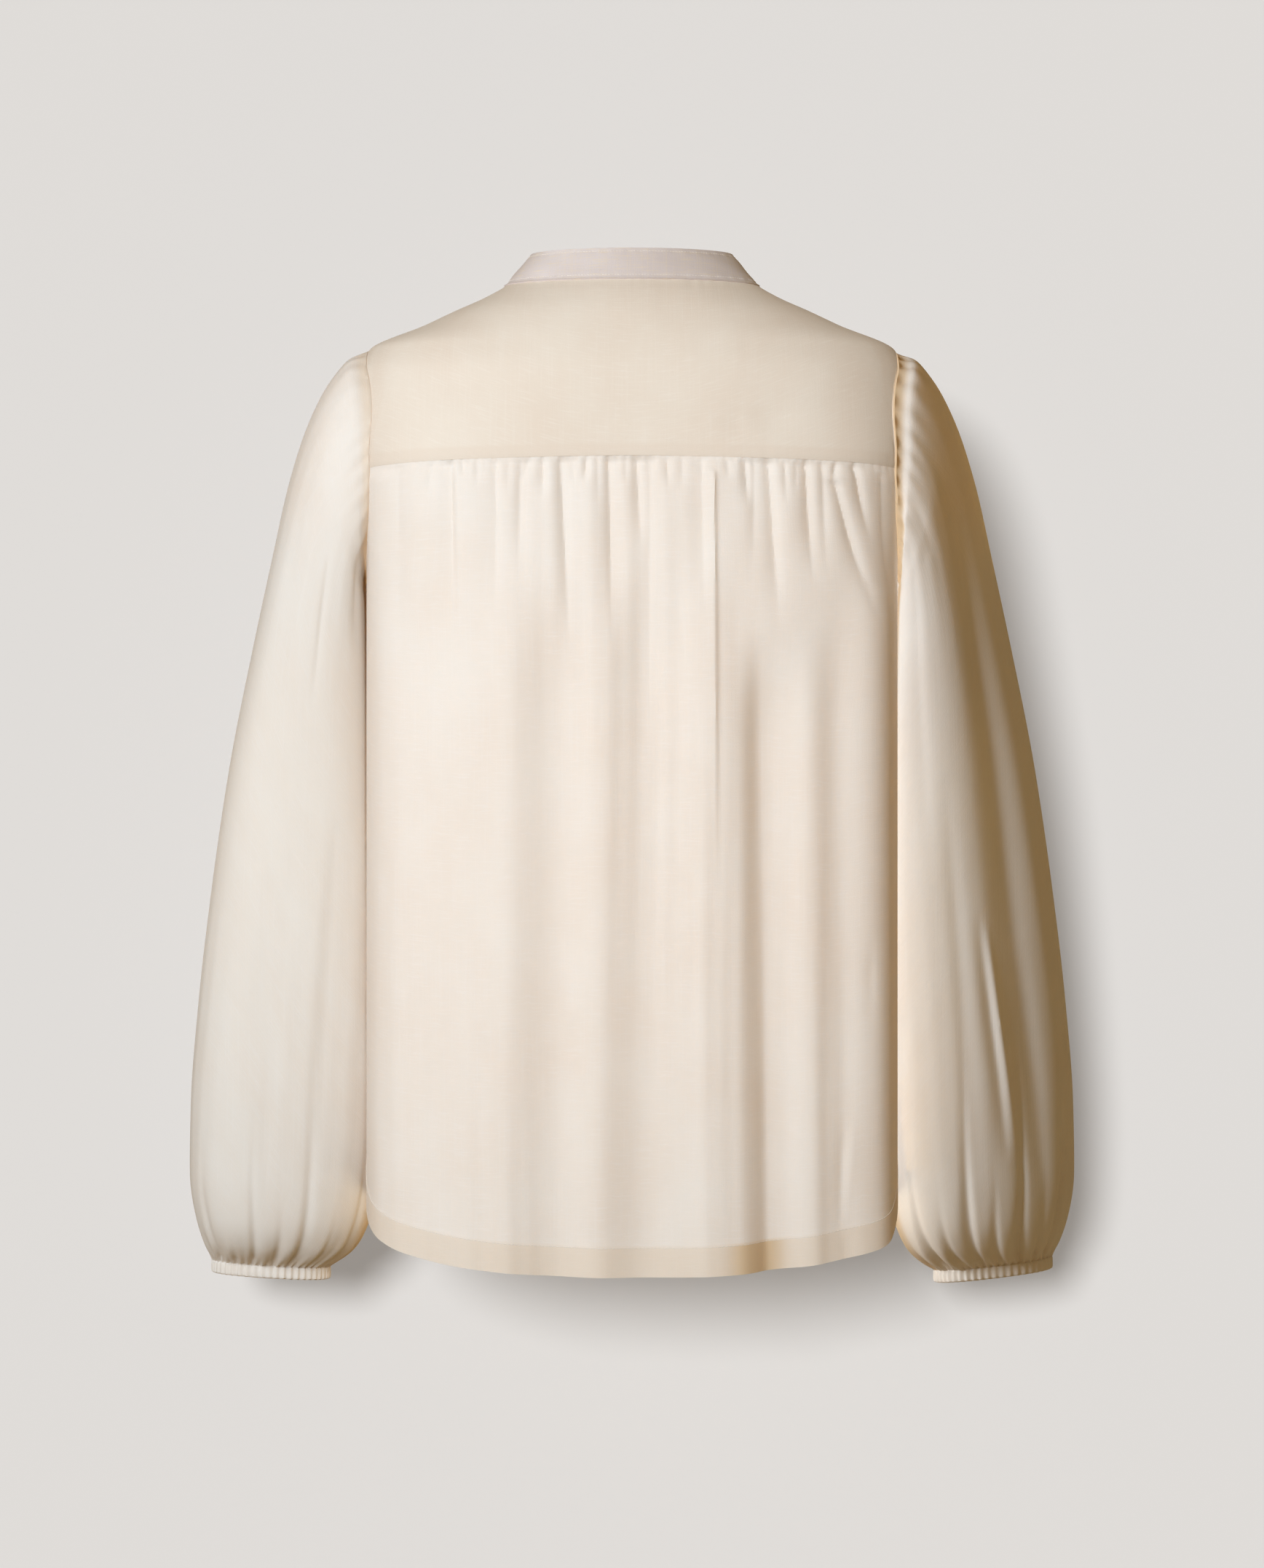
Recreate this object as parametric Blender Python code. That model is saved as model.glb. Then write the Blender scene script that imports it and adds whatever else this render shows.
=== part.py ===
"""A mandarin collar blouse, hollow, as worn on a general figure that isn't there.

The blouse stands upright with its front towards -Y and the wearer's left towards +X.
The origin is the middle of the neck opening, level with the back neck seam's edge.
Every cloth piece is a thin wall. Its outer face is a grid of points on the body form
or the sleeve form, and its inner face lies one wall thickness further in.
Sizes are in millimetres and become metres when a mesh is made.
"""

import math
from collections import namedtuple

import bmesh
import bpy
import numpy as np
from mathutils import Vector

MM = 0.001

# ---- Cloth ----
WALL = 1.2
SEAM_GAP = 0.3
LAP_GAP = 0.3

# ---- Body form: rings from the neck to the hem, each a rounded rectangle ----
Ring = namedtuple("Ring", "height half_width back_depth front_depth squareness")
BODY_RINGS = (
    Ring(height=20.0, half_width=62.0, back_depth=34.0, front_depth=36.0, squareness=2.0),
    Ring(height=-5.5, half_width=88.0, back_depth=48.0, front_depth=46.0, squareness=2.0),
    Ring(height=-15.0, half_width=104.0, back_depth=58.0, front_depth=50.0, squareness=2.05),
    Ring(height=-25.0, half_width=126.0, back_depth=67.0, front_depth=54.0, squareness=2.1),
    Ring(height=-35.0, half_width=147.0, back_depth=74.0, front_depth=57.0, squareness=2.15),
    Ring(height=-52.0, half_width=185.0, back_depth=83.0, front_depth=62.0, squareness=2.25),
    Ring(height=-70.0, half_width=193.0, back_depth=90.0, front_depth=67.0, squareness=2.5),
    Ring(height=-100.0, half_width=194.0, back_depth=96.0, front_depth=80.0, squareness=2.9),
    Ring(height=-133.0, half_width=192.0, back_depth=100.0, front_depth=96.0, squareness=3.4),
    Ring(height=-175.0, half_width=188.0, back_depth=103.0, front_depth=108.0, squareness=3.4),
    Ring(height=-214.0, half_width=186.0, back_depth=104.0, front_depth=114.0, squareness=3.4),
    Ring(height=-450.0, half_width=186.0, back_depth=106.0, front_depth=117.0, squareness=3.4),
    Ring(height=-700.0, half_width=186.0, back_depth=108.0, front_depth=120.0, squareness=3.4),
)

# ---- Neck seam and collar ----
NECK_HEIGHT = -5.5
NECK_HALF_WIDTH = 88.0
NECK_DROP = 64.0
NECK_DROP_POWER = 1.6
COLLAR_HEIGHT = 21.0
COLLAR_LEAN_SIDE = 0.20
COLLAR_LEAN_BACK = 0.12
COLLAR_CORNER = 13.0
COLLAR_CORNER_DROP = 0.8
COLLAR_END = 1.6
COLLAR_ROWS = 2

# ---- Armholes and yoke ----
ARMHOLE_TOP = -52.0
ARMHOLE_BOTTOM = -214.0
ARMHOLE_HALF_DEPTH = 60.0
ARMHOLE_POINTS = 20
YOKE_FRONT_POINT = 3
YOKE_BACK_POINT = 5
YOKE_SEAM = 0.5 * (ARMHOLE_TOP + ARMHOLE_BOTTOM)
YOKE_NECK_TURN_FRONT = 118.0
YOKE_NECK_TURN_BACK = 45.0
YOKE_ROWS = 5
YOKE_BACK_COLUMNS = 24

# ---- Lower panels ----
HEM_BACK = -693.0
HEM_FRONT = -690.0
HEM_SIDE = -626.0
HEM_CURVE = 2.4
SIDE_SEAM_ROWS = (-240.0, -285.0, -345.0, -415.0, -485.0, -555.0, HEM_SIDE)
BACK_COLUMNS = 44
FRONT_NECK_COLUMNS = 6
EDGE_SPREAD = 4.0
FIRST_ROW_SHARE = 0.38

# ---- Front bands and buttons ----
BAND_HALF_WIDTH = 12.5
BAND_LAP = 1.5
BAND_COLUMNS = 2
BUTTON_RADIUS = 5.5
BUTTON_THICKNESS = 2.2
BUTTON_DISH = 0.6
BUTTON_RIM = 1.2
BUTTON_FIRST = -84.0
BUTTON_SPACING = 88.0
BUTTON_COUNT = 7
BUTTON_SIDES = 16

# ---- Fullness and folds of the lower panels ----
Fold = namedtuple("Fold", "x_top x_low length depth half_width")
GATHER_START = 14.0
BACK_PUFF = 3.0
BACK_PUFF_FALL = 90.0
BACK_GATHERS = (
    Fold(x_top=124.0, x_low=124.0, length=85.0, depth=4.0, half_width=9.0),
    Fold(x_top=92.0, x_low=93.0, length=60.0, depth=2.2, half_width=8.0),
    Fold(x_top=61.0, x_low=63.0, length=50.0, depth=3.0, half_width=8.0),
    Fold(x_top=45.0, x_low=41.0, length=110.0, depth=3.6, half_width=8.0),
    Fold(x_top=15.5, x_low=14.0, length=85.0, depth=4.0, half_width=9.0),
    Fold(x_top=-13.5, x_low=-12.0, length=110.0, depth=3.2, half_width=9.0),
    Fold(x_top=-47.0, x_low=-49.0, length=70.0, depth=2.6, half_width=8.0),
    Fold(x_top=-78.0, x_low=-80.0, length=75.0, depth=2.8, half_width=8.0),
    Fold(x_top=-97.0, x_low=-102.0, length=65.0, depth=3.0, half_width=8.0),
    Fold(x_top=-120.0, x_low=-126.0, length=70.0, depth=4.0, half_width=9.0),
    Fold(x_top=-148.0, x_low=-158.0, length=75.0, depth=3.0, half_width=9.0),
)
DRAPE_START = 70.0
FLAT_FROM = 178.0
FLAT_FADE = 25.0
BACK_DRAPE = (
    Fold(x_top=136.0, x_low=144.0, length=0.0, depth=3.0, half_width=24.0),
    Fold(x_top=66.0, x_low=70.0, length=0.0, depth=4.5, half_width=24.0),
    Fold(x_top=-3.0, x_low=0.0, length=0.0, depth=5.0, half_width=26.0),
    Fold(x_top=-76.0, x_low=-82.0, length=0.0, depth=7.5, half_width=27.0),
    Fold(x_top=-140.0, x_low=-156.0, length=0.0, depth=3.5, half_width=20.0),
)
FRONT_DRAPE = (
    Fold(x_top=52.0, x_low=58.0, length=0.0, depth=5.0, half_width=24.0),
    Fold(x_top=112.0, x_low=128.0, length=0.0, depth=4.5, half_width=26.0),
)

# ---- Sleeves: rings from the armhole to the cuff, from shoulder side to body side ----
Section = namedtuple("Section", "outer_x outer_z inner_x inner_z middle_y half_depth seam_share")
SLEEVE_SECTIONS = (
    Section(185.0, -52.0, 186.0, -214.0, 0.0, 60.0, 1.0),
    Section(197.0, -57.5, 188.5, -217.5, 0.0, 61.0, 0.6),
    Section(212.0, -74.0, 189.0, -222.0, -1.0, 62.0, 0.25),
    Section(227.0, -102.0, 188.5, -228.5, -3.0, 62.0, 0.0),
    Section(241.5, -145.0, 186.0, -238.5, -7.0, 61.0, 0.0),
    Section(254.5, -200.0, 183.0, -256.0, -13.0, 60.0, 0.0),
    Section(269.0, -264.0, 180.0, -290.0, -20.0, 58.5, 0.0),
    Section(285.5, -343.0, 178.0, -350.0, -29.0, 57.0, 0.0),
    Section(299.0, -428.0, 177.0, -430.0, -38.0, 56.0, 0.0),
    Section(309.5, -512.0, 177.0, -512.0, -46.0, 57.0, 0.0),
    Section(315.5, -582.0, 178.0, -582.0, -52.0, 58.0, 0.0),
    Section(317.0, -635.0, 181.0, -634.0, -58.0, 57.0, 0.0),
    Section(313.0, -668.0, 188.0, -669.0, -62.0, 53.0, 0.0),
    Section(308.0, -685.0, 198.0, -688.5, -65.0, 45.0, 0.0),
    Section(304.0, -694.5, 209.5, -699.0, -67.0, 34.0, 0.0),
    Section(302.0, -699.0, 218.0, -704.0, -68.0, 24.5, 0.0),
)
SLEEVE_SQUARENESS = 2.4
SLEEVE_CLEARANCE = 2.5
SLEEVE_SEAM_GAP = 0.5
CUFF_GATHER_FOLDS = 10
CUFF_GATHER_DEPTH = 1.6
CUFF_GATHER_ROWS = 3

# ---- Cuffs: narrow casings drawn in by elastic ----
CUFF_HEIGHT = 9.0
CUFF_PLEATS = 24
CUFF_PLEAT_DEPTH = 0.7

# ---- Finishes: base colour (linear) and roughness ----
Finish = namedtuple("Finish", "name colour roughness")
VOILE = Finish(name="cream_voile", colour=(0.83, 0.77, 0.66), roughness=0.85)
COLLAR_VOILE = Finish(name="cream_voile_double", colour=(0.78, 0.70, 0.62), roughness=0.85)
SHELL_BUTTON = Finish(name="shell_button", colour=(0.86, 0.82, 0.74), roughness=0.3)


# ---------------------------------------------------------------- curves


def smooth_curve(places, values):
    """Return a curve through all the values that never overshoots between two of them."""
    order = np.argsort(places)
    places = np.asarray(places, float)[order]
    values = np.asarray(values, float)[order]
    steps = np.diff(places)
    slopes = np.diff(values) / steps
    tangents = np.zeros(len(places))
    tangents[0] = slopes[0]
    tangents[-1] = slopes[-1]
    before = slopes[:-1]
    after = slopes[1:]
    rising = before * after > 0.0
    tangents[1:-1][rising] = 2.0 * before[rising] * after[rising] / (before + after)[rising]

    def at(place):
        place = np.clip(place, places[0], places[-1])
        span = np.clip(np.searchsorted(places, place, side="right") - 1, 0, len(steps) - 1)
        step = steps[span]
        t = (place - places[span]) / step
        start = values[span] * (1.0 + 2.0 * t) * (1.0 - t) ** 2
        end = values[span + 1] * t * t * (3.0 - 2.0 * t)
        leave = tangents[span] * step * t * (1.0 - t) ** 2
        arrive = tangents[span + 1] * step * t * t * (t - 1.0)
        return start + end + leave + arrive

    return at


def ring_curve(field):
    heights = [ring.height for ring in BODY_RINGS]
    return smooth_curve(heights, [getattr(ring, field) for ring in BODY_RINGS])


HALF_WIDTH = ring_curve("half_width")
BACK_DEPTH = ring_curve("back_depth")
FRONT_DEPTH = ring_curve("front_depth")
SQUARENESS = ring_curve("squareness")


def rounded(turn, squareness):
    """Return the sideways and backward shares of a rounded rectangle at a turn in degrees."""
    sideways = np.sin(np.radians(turn))
    backward = np.cos(np.radians(turn))
    reach = (np.abs(sideways) ** squareness + np.abs(backward) ** squareness) ** (1.0 / squareness)
    return sideways / reach, backward / reach


def body(turn, height):
    """Return the point of the body form at a turn from the centre back and a height."""
    turn, height = np.broadcast_arrays(np.asarray(turn, float), np.asarray(height, float))
    sideways, backward = rounded(turn, SQUARENESS(height))
    depth = np.where(backward > 0.0, BACK_DEPTH(height), FRONT_DEPTH(height))
    return np.stack([HALF_WIDTH(height) * sideways, depth * backward, height], axis=-1)


def body_normal(turn, height):
    """Return the outward direction of the body form."""
    small = 0.05
    across = body(np.asarray(turn) + small, height) - body(np.asarray(turn) - small, height)
    up = body(turn, np.asarray(height) + small) - body(turn, np.asarray(height) - small)
    normal = np.cross(up, across)
    normal /= np.linalg.norm(normal, axis=-1, keepdims=True)
    outward = np.sum(normal[..., :2] * body(turn, height)[..., :2], axis=-1, keepdims=True)
    return np.where(outward < 0.0, -normal, normal)


def side_of(y, height):
    """Return how far out the body form's side is at a depth and height."""
    depth = np.where(y > 0.0, BACK_DEPTH(height), FRONT_DEPTH(height))
    share = np.clip(np.abs(y) / depth, 0.0, 1.0)
    squareness = SQUARENESS(height)
    return HALF_WIDTH(height) * (1.0 - share ** squareness) ** (1.0 / squareness)


def turn_at_depth(y, height):
    """Return the turn at which the body form has a depth, 0 at the back and 180 at the front."""
    depth = BACK_DEPTH(height) if y > 0.0 else FRONT_DEPTH(height)
    share = max(abs(y) / float(depth), 1e-6)
    squareness = float(SQUARENESS(height))
    turn = math.degrees(math.atan((share ** -squareness - 1.0) ** (1.0 / squareness)))
    return turn if y >= 0.0 else 180.0 - turn


def turn_at_width(x, height):
    """Return the front turn at which the body form has a distance from its middle."""
    share = min(abs(x) / float(HALF_WIDTH(height)), 1.0)
    squareness = float(SQUARENESS(height))
    ratio = max(share ** -squareness - 1.0, 0.0) ** (1.0 / squareness)
    return 180.0 - math.degrees(math.atan2(1.0, ratio))


def neck(turn):
    """Return the neck seam's turn and height on the body form, by its own turn round the neck."""
    if turn <= 90.0:
        return turn, NECK_HEIGHT
    forward = math.radians(turn - 90.0)
    height = NECK_HEIGHT - NECK_DROP * math.sin(forward) ** NECK_DROP_POWER
    return turn_at_width(NECK_HALF_WIDTH * math.cos(forward), height), height


def armhole(point):
    """Return an armhole point's turn and height, counted from the top towards the back."""
    angle = 2.0 * math.pi * point / ARMHOLE_POINTS
    half_height = 0.5 * (ARMHOLE_TOP - ARMHOLE_BOTTOM)
    height = YOKE_SEAM + half_height * math.cos(angle)
    depth = ARMHOLE_HALF_DEPTH * math.sin(angle)
    if abs(depth) < 1e-6:
        return 90.0, height
    return turn_at_depth(depth, height), height


# ---------------------------------------------------------------- folds


def valley(x, below, fold, start, panel_length):
    """Return how deep a fold lies at a distance across and below its seam."""
    share = np.clip(below / panel_length, 0.0, 1.0)
    middle = fold.x_top + (fold.x_low - fold.x_top) * share
    across = np.exp(-((x - middle) / fold.half_width) ** 2)
    growth = np.clip(below / start, 0.0, 1.0)
    growth = growth * growth * (3.0 - 2.0 * growth)
    if fold.length > 0.0:
        growth = growth * np.exp(-(below / fold.length) ** 2)
    return fold.depth * growth * across


def back_relief(x, below):
    """Return how far the back panel stands out of the body form."""
    length = YOKE_SEAM - HEM_BACK
    puff = np.clip(below / GATHER_START, 0.0, 1.0) * np.exp(-below / BACK_PUFF_FALL)
    relief = BACK_PUFF * puff
    for fold in BACK_GATHERS:
        relief = relief - valley(x, below, fold, GATHER_START, length)
    for fold in BACK_DRAPE:
        relief = relief - valley(x, below, fold, DRAPE_START, length)
    return relief


def front_relief(x, below):
    """Return how far a front stands out of the body form."""
    relief = np.zeros_like(x)
    for fold in FRONT_DRAPE:
        relief = relief - valley(np.abs(x), below, fold, DRAPE_START, YOKE_SEAM - HEM_FRONT)
    return relief


# ---------------------------------------------------------------- meshes


def make_material(finish):
    material = bpy.data.materials.get(finish.name)
    if material is None:
        material = bpy.data.materials.new(finish.name)
        material.use_nodes = True
        shader = material.node_tree.nodes["Principled BSDF"]
        shader.inputs["Base Color"].default_value = (*finish.colour, 1.0)
        shader.inputs["Roughness"].default_value = finish.roughness
        shader.inputs["Metallic"].default_value = 0.0
    return material


def add_object(name, bm, finish):
    """Turn a bmesh in millimetres into a named object in metres."""
    bmesh.ops.scale(bm, vec=(MM, MM, MM), verts=bm.verts)
    bmesh.ops.recalc_face_normals(bm, faces=bm.faces)
    bmesh.ops.triangulate(bm, faces=bm.faces, quad_method="SHORT_EDGE")
    mesh = bpy.data.meshes.new(name)
    bm.to_mesh(mesh)
    bm.free()
    mesh.shade_smooth()
    mesh.set_sharp_from_angle(angle=math.radians(50.0))
    mesh.materials.append(make_material(finish))
    obj = bpy.data.objects.new(name, mesh)
    bpy.context.scene.collection.objects.link(obj)
    return obj


def add_wall(name, outer, inward, finish, closed=False):
    """Make a closed wall from a grid of outer points and the way in to its inner points."""
    inner = outer - WALL * inward
    rows, columns = outer.shape[:2]
    bm = bmesh.new()
    faces_of = []
    for grid in (outer, inner):
        faces_of.append([[bm.verts.new(point) for point in row] for row in grid.tolist()])
    outside, inside = faces_of
    spans = columns if closed else columns - 1
    for r in range(rows - 1):
        for c in range(spans):
            d = (c + 1) % columns
            bm.faces.new((outside[r][c], outside[r][d], outside[r + 1][d], outside[r + 1][c]))
            bm.faces.new((inside[r][c], inside[r + 1][c], inside[r + 1][d], inside[r][d]))
    for r, flip in ((0, False), (rows - 1, True)):
        for c in range(spans):
            d = (c + 1) % columns
            rim = [outside[r][d], outside[r][c], inside[r][c], inside[r][d]]
            bm.faces.new(rim[::-1] if flip else rim)
    if not closed:
        for c, flip in ((0, False), (columns - 1, True)):
            for r in range(rows - 1):
                rim = [outside[r][c], outside[r + 1][c], inside[r + 1][c], inside[r][c]]
                bm.faces.new(rim[::-1] if flip else rim)
    return add_object(name, bm, finish)


def mirrored(points):
    """Return points moved to the wearer's other side."""
    return points * np.array((-1.0, 1.0, 1.0))


def grid_normals(points, closed):
    """Return a grid's directions across its faces, for a tube that runs downwards."""
    if closed:
        around = np.roll(points, -1, axis=1) - np.roll(points, 1, axis=1)
    else:
        around = np.gradient(points, axis=1)
    along = np.gradient(points, axis=0)
    normals = np.cross(around, along)
    return normals / np.linalg.norm(normals, axis=-1, keepdims=True)


def beside(edge, normals, toward, distance=0.5 * SEAM_GAP):
    """Return an edge's points moved within their surface towards the points next to them."""
    across = np.cross(normals, np.gradient(edge, axis=0))
    across /= np.linalg.norm(across, axis=-1, keepdims=True)
    way = np.sign(np.sum(across * (toward - edge), axis=-1, keepdims=True))
    return edge + distance * way * across


# ---------------------------------------------------------------- yoke, back and fronts


def yoke_seam_columns():
    """Return the yoke's columns as pairs of a neck turn and an outer point, left to right."""
    first = ARMHOLE_POINTS - YOKE_FRONT_POINT
    steps = YOKE_FRONT_POINT + YOKE_BACK_POINT
    side = []
    for step in range(steps + 1):
        if step <= YOKE_FRONT_POINT:
            share = step / YOKE_FRONT_POINT
            turn = YOKE_NECK_TURN_FRONT + (90.0 - YOKE_NECK_TURN_FRONT) * share
        else:
            share = (step - YOKE_FRONT_POINT) / YOKE_BACK_POINT
            turn = 90.0 + (YOKE_NECK_TURN_BACK - 90.0) * share
        side.append((turn, armhole((first + step) % ARMHOLE_POINTS)))
    corner = side[-1][1][0]
    columns = list(side)
    for step in range(1, YOKE_BACK_COLUMNS):
        share = 1.0 - 2.0 * step / YOKE_BACK_COLUMNS
        columns.append((YOKE_NECK_TURN_BACK * share, (corner * share, YOKE_SEAM)))
    columns += [(-turn, (-outer[0], outer[1])) for turn, outer in reversed(side)]
    return columns


def yoke_grid():
    """Return the turns and heights of the yoke, from the neck seam outwards."""
    turns = []
    heights = []
    shares = np.linspace(0.0, 1.0, YOKE_ROWS + 1)
    for neck_turn, (outer_turn, outer_height) in yoke_seam_columns():
        turn, height = neck(abs(neck_turn))
        turn = math.copysign(turn, neck_turn)
        turns.append(turn + (outer_turn - turn) * shares)
        heights.append(height + (outer_height - height) * shares)
    return np.array(turns).T, np.array(heights).T


def make_yoke():
    turns, heights = yoke_grid()
    points = body(turns, heights)
    normals = body_normal(turns, heights)
    corner = YOKE_FRONT_POINT + YOKE_BACK_POINT
    seam = slice(corner, corner + YOKE_BACK_COLUMNS + 1)
    points[-1, seam] = beside(points[-1, seam], normals[-1, seam], points[-2, seam])
    for edge, neighbour in ((0, 1), (-1, -2)):
        points[:, edge] = beside(points[:, edge], normals[:, edge], points[:, neighbour])
    add_wall("yoke", points, normals, VOILE)


def side_edge(first_point, last_point, step):
    """Return a lower panel's side edge: down the armhole, then down the side seam."""
    edge = [armhole(point) for point in range(first_point, last_point + step, step)]
    first, second = edge[0], edge[1]
    extra = tuple(a + (b - a) * FIRST_ROW_SHARE for a, b in zip(first, second))
    edge.insert(1, extra)
    edge += [(90.0, height) for height in SIDE_SEAM_ROWS]
    return edge


def hem_height(turn, middle):
    """Return the curved hem's height at a turn, higher at the sides."""
    from_middle = np.minimum(np.abs(turn), 180.0 - np.abs(turn)) / 90.0
    return middle + (HEM_SIDE - middle) * from_middle ** HEM_CURVE


def row_shares(edge):
    heights = np.array([height for turn, height in edge])
    return (heights - heights[0]) / (heights[-1] - heights[0])


def make_back_panel():
    edge = side_edge(YOKE_BACK_POINT, ARMHOLE_POINTS // 2, 1)
    underarm = edge.index(armhole(ARMHOLE_POINTS // 2))
    corner = edge[0][0]
    across = np.linspace(1.0, -1.0, BACK_COLUMNS + 1)
    side_turn = np.array([turn for turn, height in edge])
    spread = np.sign(across) * np.abs(across) ** EDGE_SPREAD
    turns = corner * across[None, :] + (side_turn - corner)[:, None] * spread[None, :]
    hem = hem_height(turns[-1], HEM_BACK)
    heights = YOKE_SEAM + (hem[None, :] - YOKE_SEAM) * row_shares(edge)[:, None]
    side_heights = np.array([height for turn, height in edge])
    nearness = np.abs(spread[None, :])
    heights = heights + (side_heights - heights[:, 0])[:, None] * nearness
    points = body(turns, heights)
    normals = body_normal(turns, heights)
    relief = back_relief(points[..., 0], YOKE_SEAM - heights) * side_fade(points[..., 0])
    points[0] = beside(points[0], normals[0], points[1])
    for side, neighbour in ((0, 1), (-1, -2)):
        seam = slice(underarm, None)
        shifted = beside(points[seam, side], normals[seam, side], points[seam, neighbour])
        points[seam, side] = shifted
    add_wall("back_panel", points + relief[..., None] * normals, normals, VOILE)


def side_fade(x):
    """Return 1 over most of a panel, falling to 0 at its side edges."""
    share = np.clip((FLAT_FROM - np.abs(x)) / FLAT_FADE, 0.0, 1.0)
    return share * share * (3.0 - 2.0 * share)


def front_neck_turns():
    """Return the turns round the neck from the yoke's front seam to the band's seam."""
    last = 90.0 + math.degrees(math.acos(BAND_HALF_WIDTH / NECK_HALF_WIDTH))
    return np.linspace(YOKE_NECK_TURN_FRONT, last, FRONT_NECK_COLUMNS + 1).tolist()


def front_grid():
    """Return the left front's turns and heights, from the armhole to its band seam."""
    edge = side_edge(ARMHOLE_POINTS - YOKE_FRONT_POINT, ARMHOLE_POINTS // 2, -1)
    start = edge[0]
    end = neck(YOKE_NECK_TURN_FRONT)
    shares = np.linspace(0.0, 1.0, YOKE_ROWS + 1)
    top = [(start[0] + (end[0] - start[0]) * t, start[1] + (end[1] - start[1]) * t) for t in shares]
    top += [neck(turn) for turn in front_neck_turns()[1:]]
    top_turn, top_height = np.array(top).T
    top_place = (top_turn - top_turn[0]) / (top_turn[-1] - top_turn[0])
    hem_place = np.linspace(0.0, 1.0, len(top))
    turns = []
    heights = []
    for (side_turn, side_height), share in zip(edge, row_shares(edge)):
        centre_height = top_height[-1] + (HEM_FRONT - top_height[-1]) * share
        centre_turn = turn_at_width(BAND_HALF_WIDTH, centre_height)
        place = top_place + (hem_place - top_place) * math.sqrt(share)
        row_turns = side_turn + (centre_turn - side_turn) * place
        row_heights = top_height + (hem_height(row_turns, HEM_FRONT) - top_height) * share
        row_heights = row_heights + (side_height - row_heights[0]) * (1.0 - hem_place) ** 2
        turns.append(row_turns)
        heights.append(row_heights)
    return np.array(turns), np.array(heights)


def make_front(name, side):
    turns, heights = front_grid()
    points = body(turns, heights)
    normals = body_normal(turns, heights)
    relief = front_relief(points[..., 0], heights[0] - heights) * side_fade(points[..., 0])
    seam = slice(0, YOKE_ROWS + 1)
    points[0, seam] = beside(points[0, seam], normals[0, seam], points[1, seam])
    points[:, -1] = beside(points[:, -1], normals[:, -1], points[:, -2])
    seam = slice(ARMHOLE_POINTS // 2 - YOKE_FRONT_POINT + 1, None)
    points[seam, 0] = beside(points[seam, 0], normals[seam, 0], points[seam, 1])
    points = points + relief[..., None] * normals
    if side < 0:
        points, normals = mirrored(points), mirrored(normals)
    add_wall(name, points, normals, VOILE)


# ---------------------------------------------------------------- bands and buttons


def band_grid(from_x, to_x, lift):
    """Return a band's points and directions, made from the front's own form and moved out."""
    shares = row_shares(side_edge(ARMHOLE_POINTS - YOKE_FRONT_POINT, ARMHOLE_POINTS // 2, -1))
    turns = []
    heights = []
    for x in np.linspace(from_x, to_x, BAND_COLUMNS + 1):
        seam_turn = 90.0 + math.degrees(math.acos(abs(x) / NECK_HALF_WIDTH))
        top = neck(seam_turn)[1] - 0.5 * SEAM_GAP
        column = top + (HEM_FRONT - top) * shares
        heights.append(column)
        turns.append([math.copysign(turn_at_width(x, height), x) for height in column])
    turns = np.array(turns).T
    heights = np.array(heights).T
    normals = body_normal(turns, heights)
    return body(turns, heights) + lift * normals, normals


def upper_band_grid():
    return band_grid(BAND_HALF_WIDTH, -(BAND_HALF_WIDTH + BAND_LAP), WALL + LAP_GAP)


def make_bands():
    under_edge = BAND_HALF_WIDTH - 0.5 * SEAM_GAP
    points, normals = band_grid(under_edge, -(BAND_HALF_WIDTH - 1.0), 0.0)
    add_wall("left_button_band", points, normals, VOILE)
    points, normals = upper_band_grid()
    add_wall("right_button_band", points, normals, VOILE)


def make_button(number):
    """Make one dished button lying on the upper band."""
    height = BUTTON_FIRST - BUTTON_SPACING * (number - 1)
    profile = (
        (0.0, 0.0),
        (BUTTON_RADIUS - 0.5, 0.0),
        (BUTTON_RADIUS, 0.6),
        (BUTTON_RADIUS, BUTTON_THICKNESS - 0.5),
        (BUTTON_RADIUS - 0.5, BUTTON_THICKNESS),
        (BUTTON_RADIUS - BUTTON_RIM, BUTTON_THICKNESS - 0.1),
        (BUTTON_RADIUS - BUTTON_RIM - 0.8, BUTTON_THICKNESS - BUTTON_DISH),
        (0.0, BUTTON_THICKNESS - BUTTON_DISH),
    )
    bm = bmesh.new()
    points = [bm.verts.new((radius, 0.0, level)) for radius, level in profile]
    edges = [bm.edges.new(pair) for pair in zip(points, points[1:])]
    bmesh.ops.spin(
        bm,
        geom=points + edges,
        cent=(0.0, 0.0, 0.0),
        axis=(0.0, 0.0, 1.0),
        angle=2.0 * math.pi,
        steps=BUTTON_SIDES,
    )
    bmesh.ops.remove_doubles(bm, verts=bm.verts, dist=0.001)
    points, normals = upper_band_grid()
    middle = points[:, BAND_COLUMNS // 2]
    row = int(np.searchsorted(-middle[:, 2], -height)) - 1
    along = middle[row + 1] - middle[row]
    outward = np.cross(along, (1.0, 0.0, 0.0))
    outward = outward / np.linalg.norm(outward) * -np.sign(outward[1])
    seat = middle[row] + along * (height - middle[row][2]) / along[2]
    seat = Vector((seat + LAP_GAP * outward).tolist())
    seat.x = 0.0
    outward = Vector(outward.tolist())
    turn = outward.to_track_quat("Z", "Y").to_matrix()
    bmesh.ops.rotate(bm, verts=bm.verts, matrix=turn)
    bmesh.ops.translate(bm, verts=bm.verts, vec=seat)
    add_object(f"button_{number}", bm, SHELL_BUTTON)


# ---------------------------------------------------------------- collar


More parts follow.
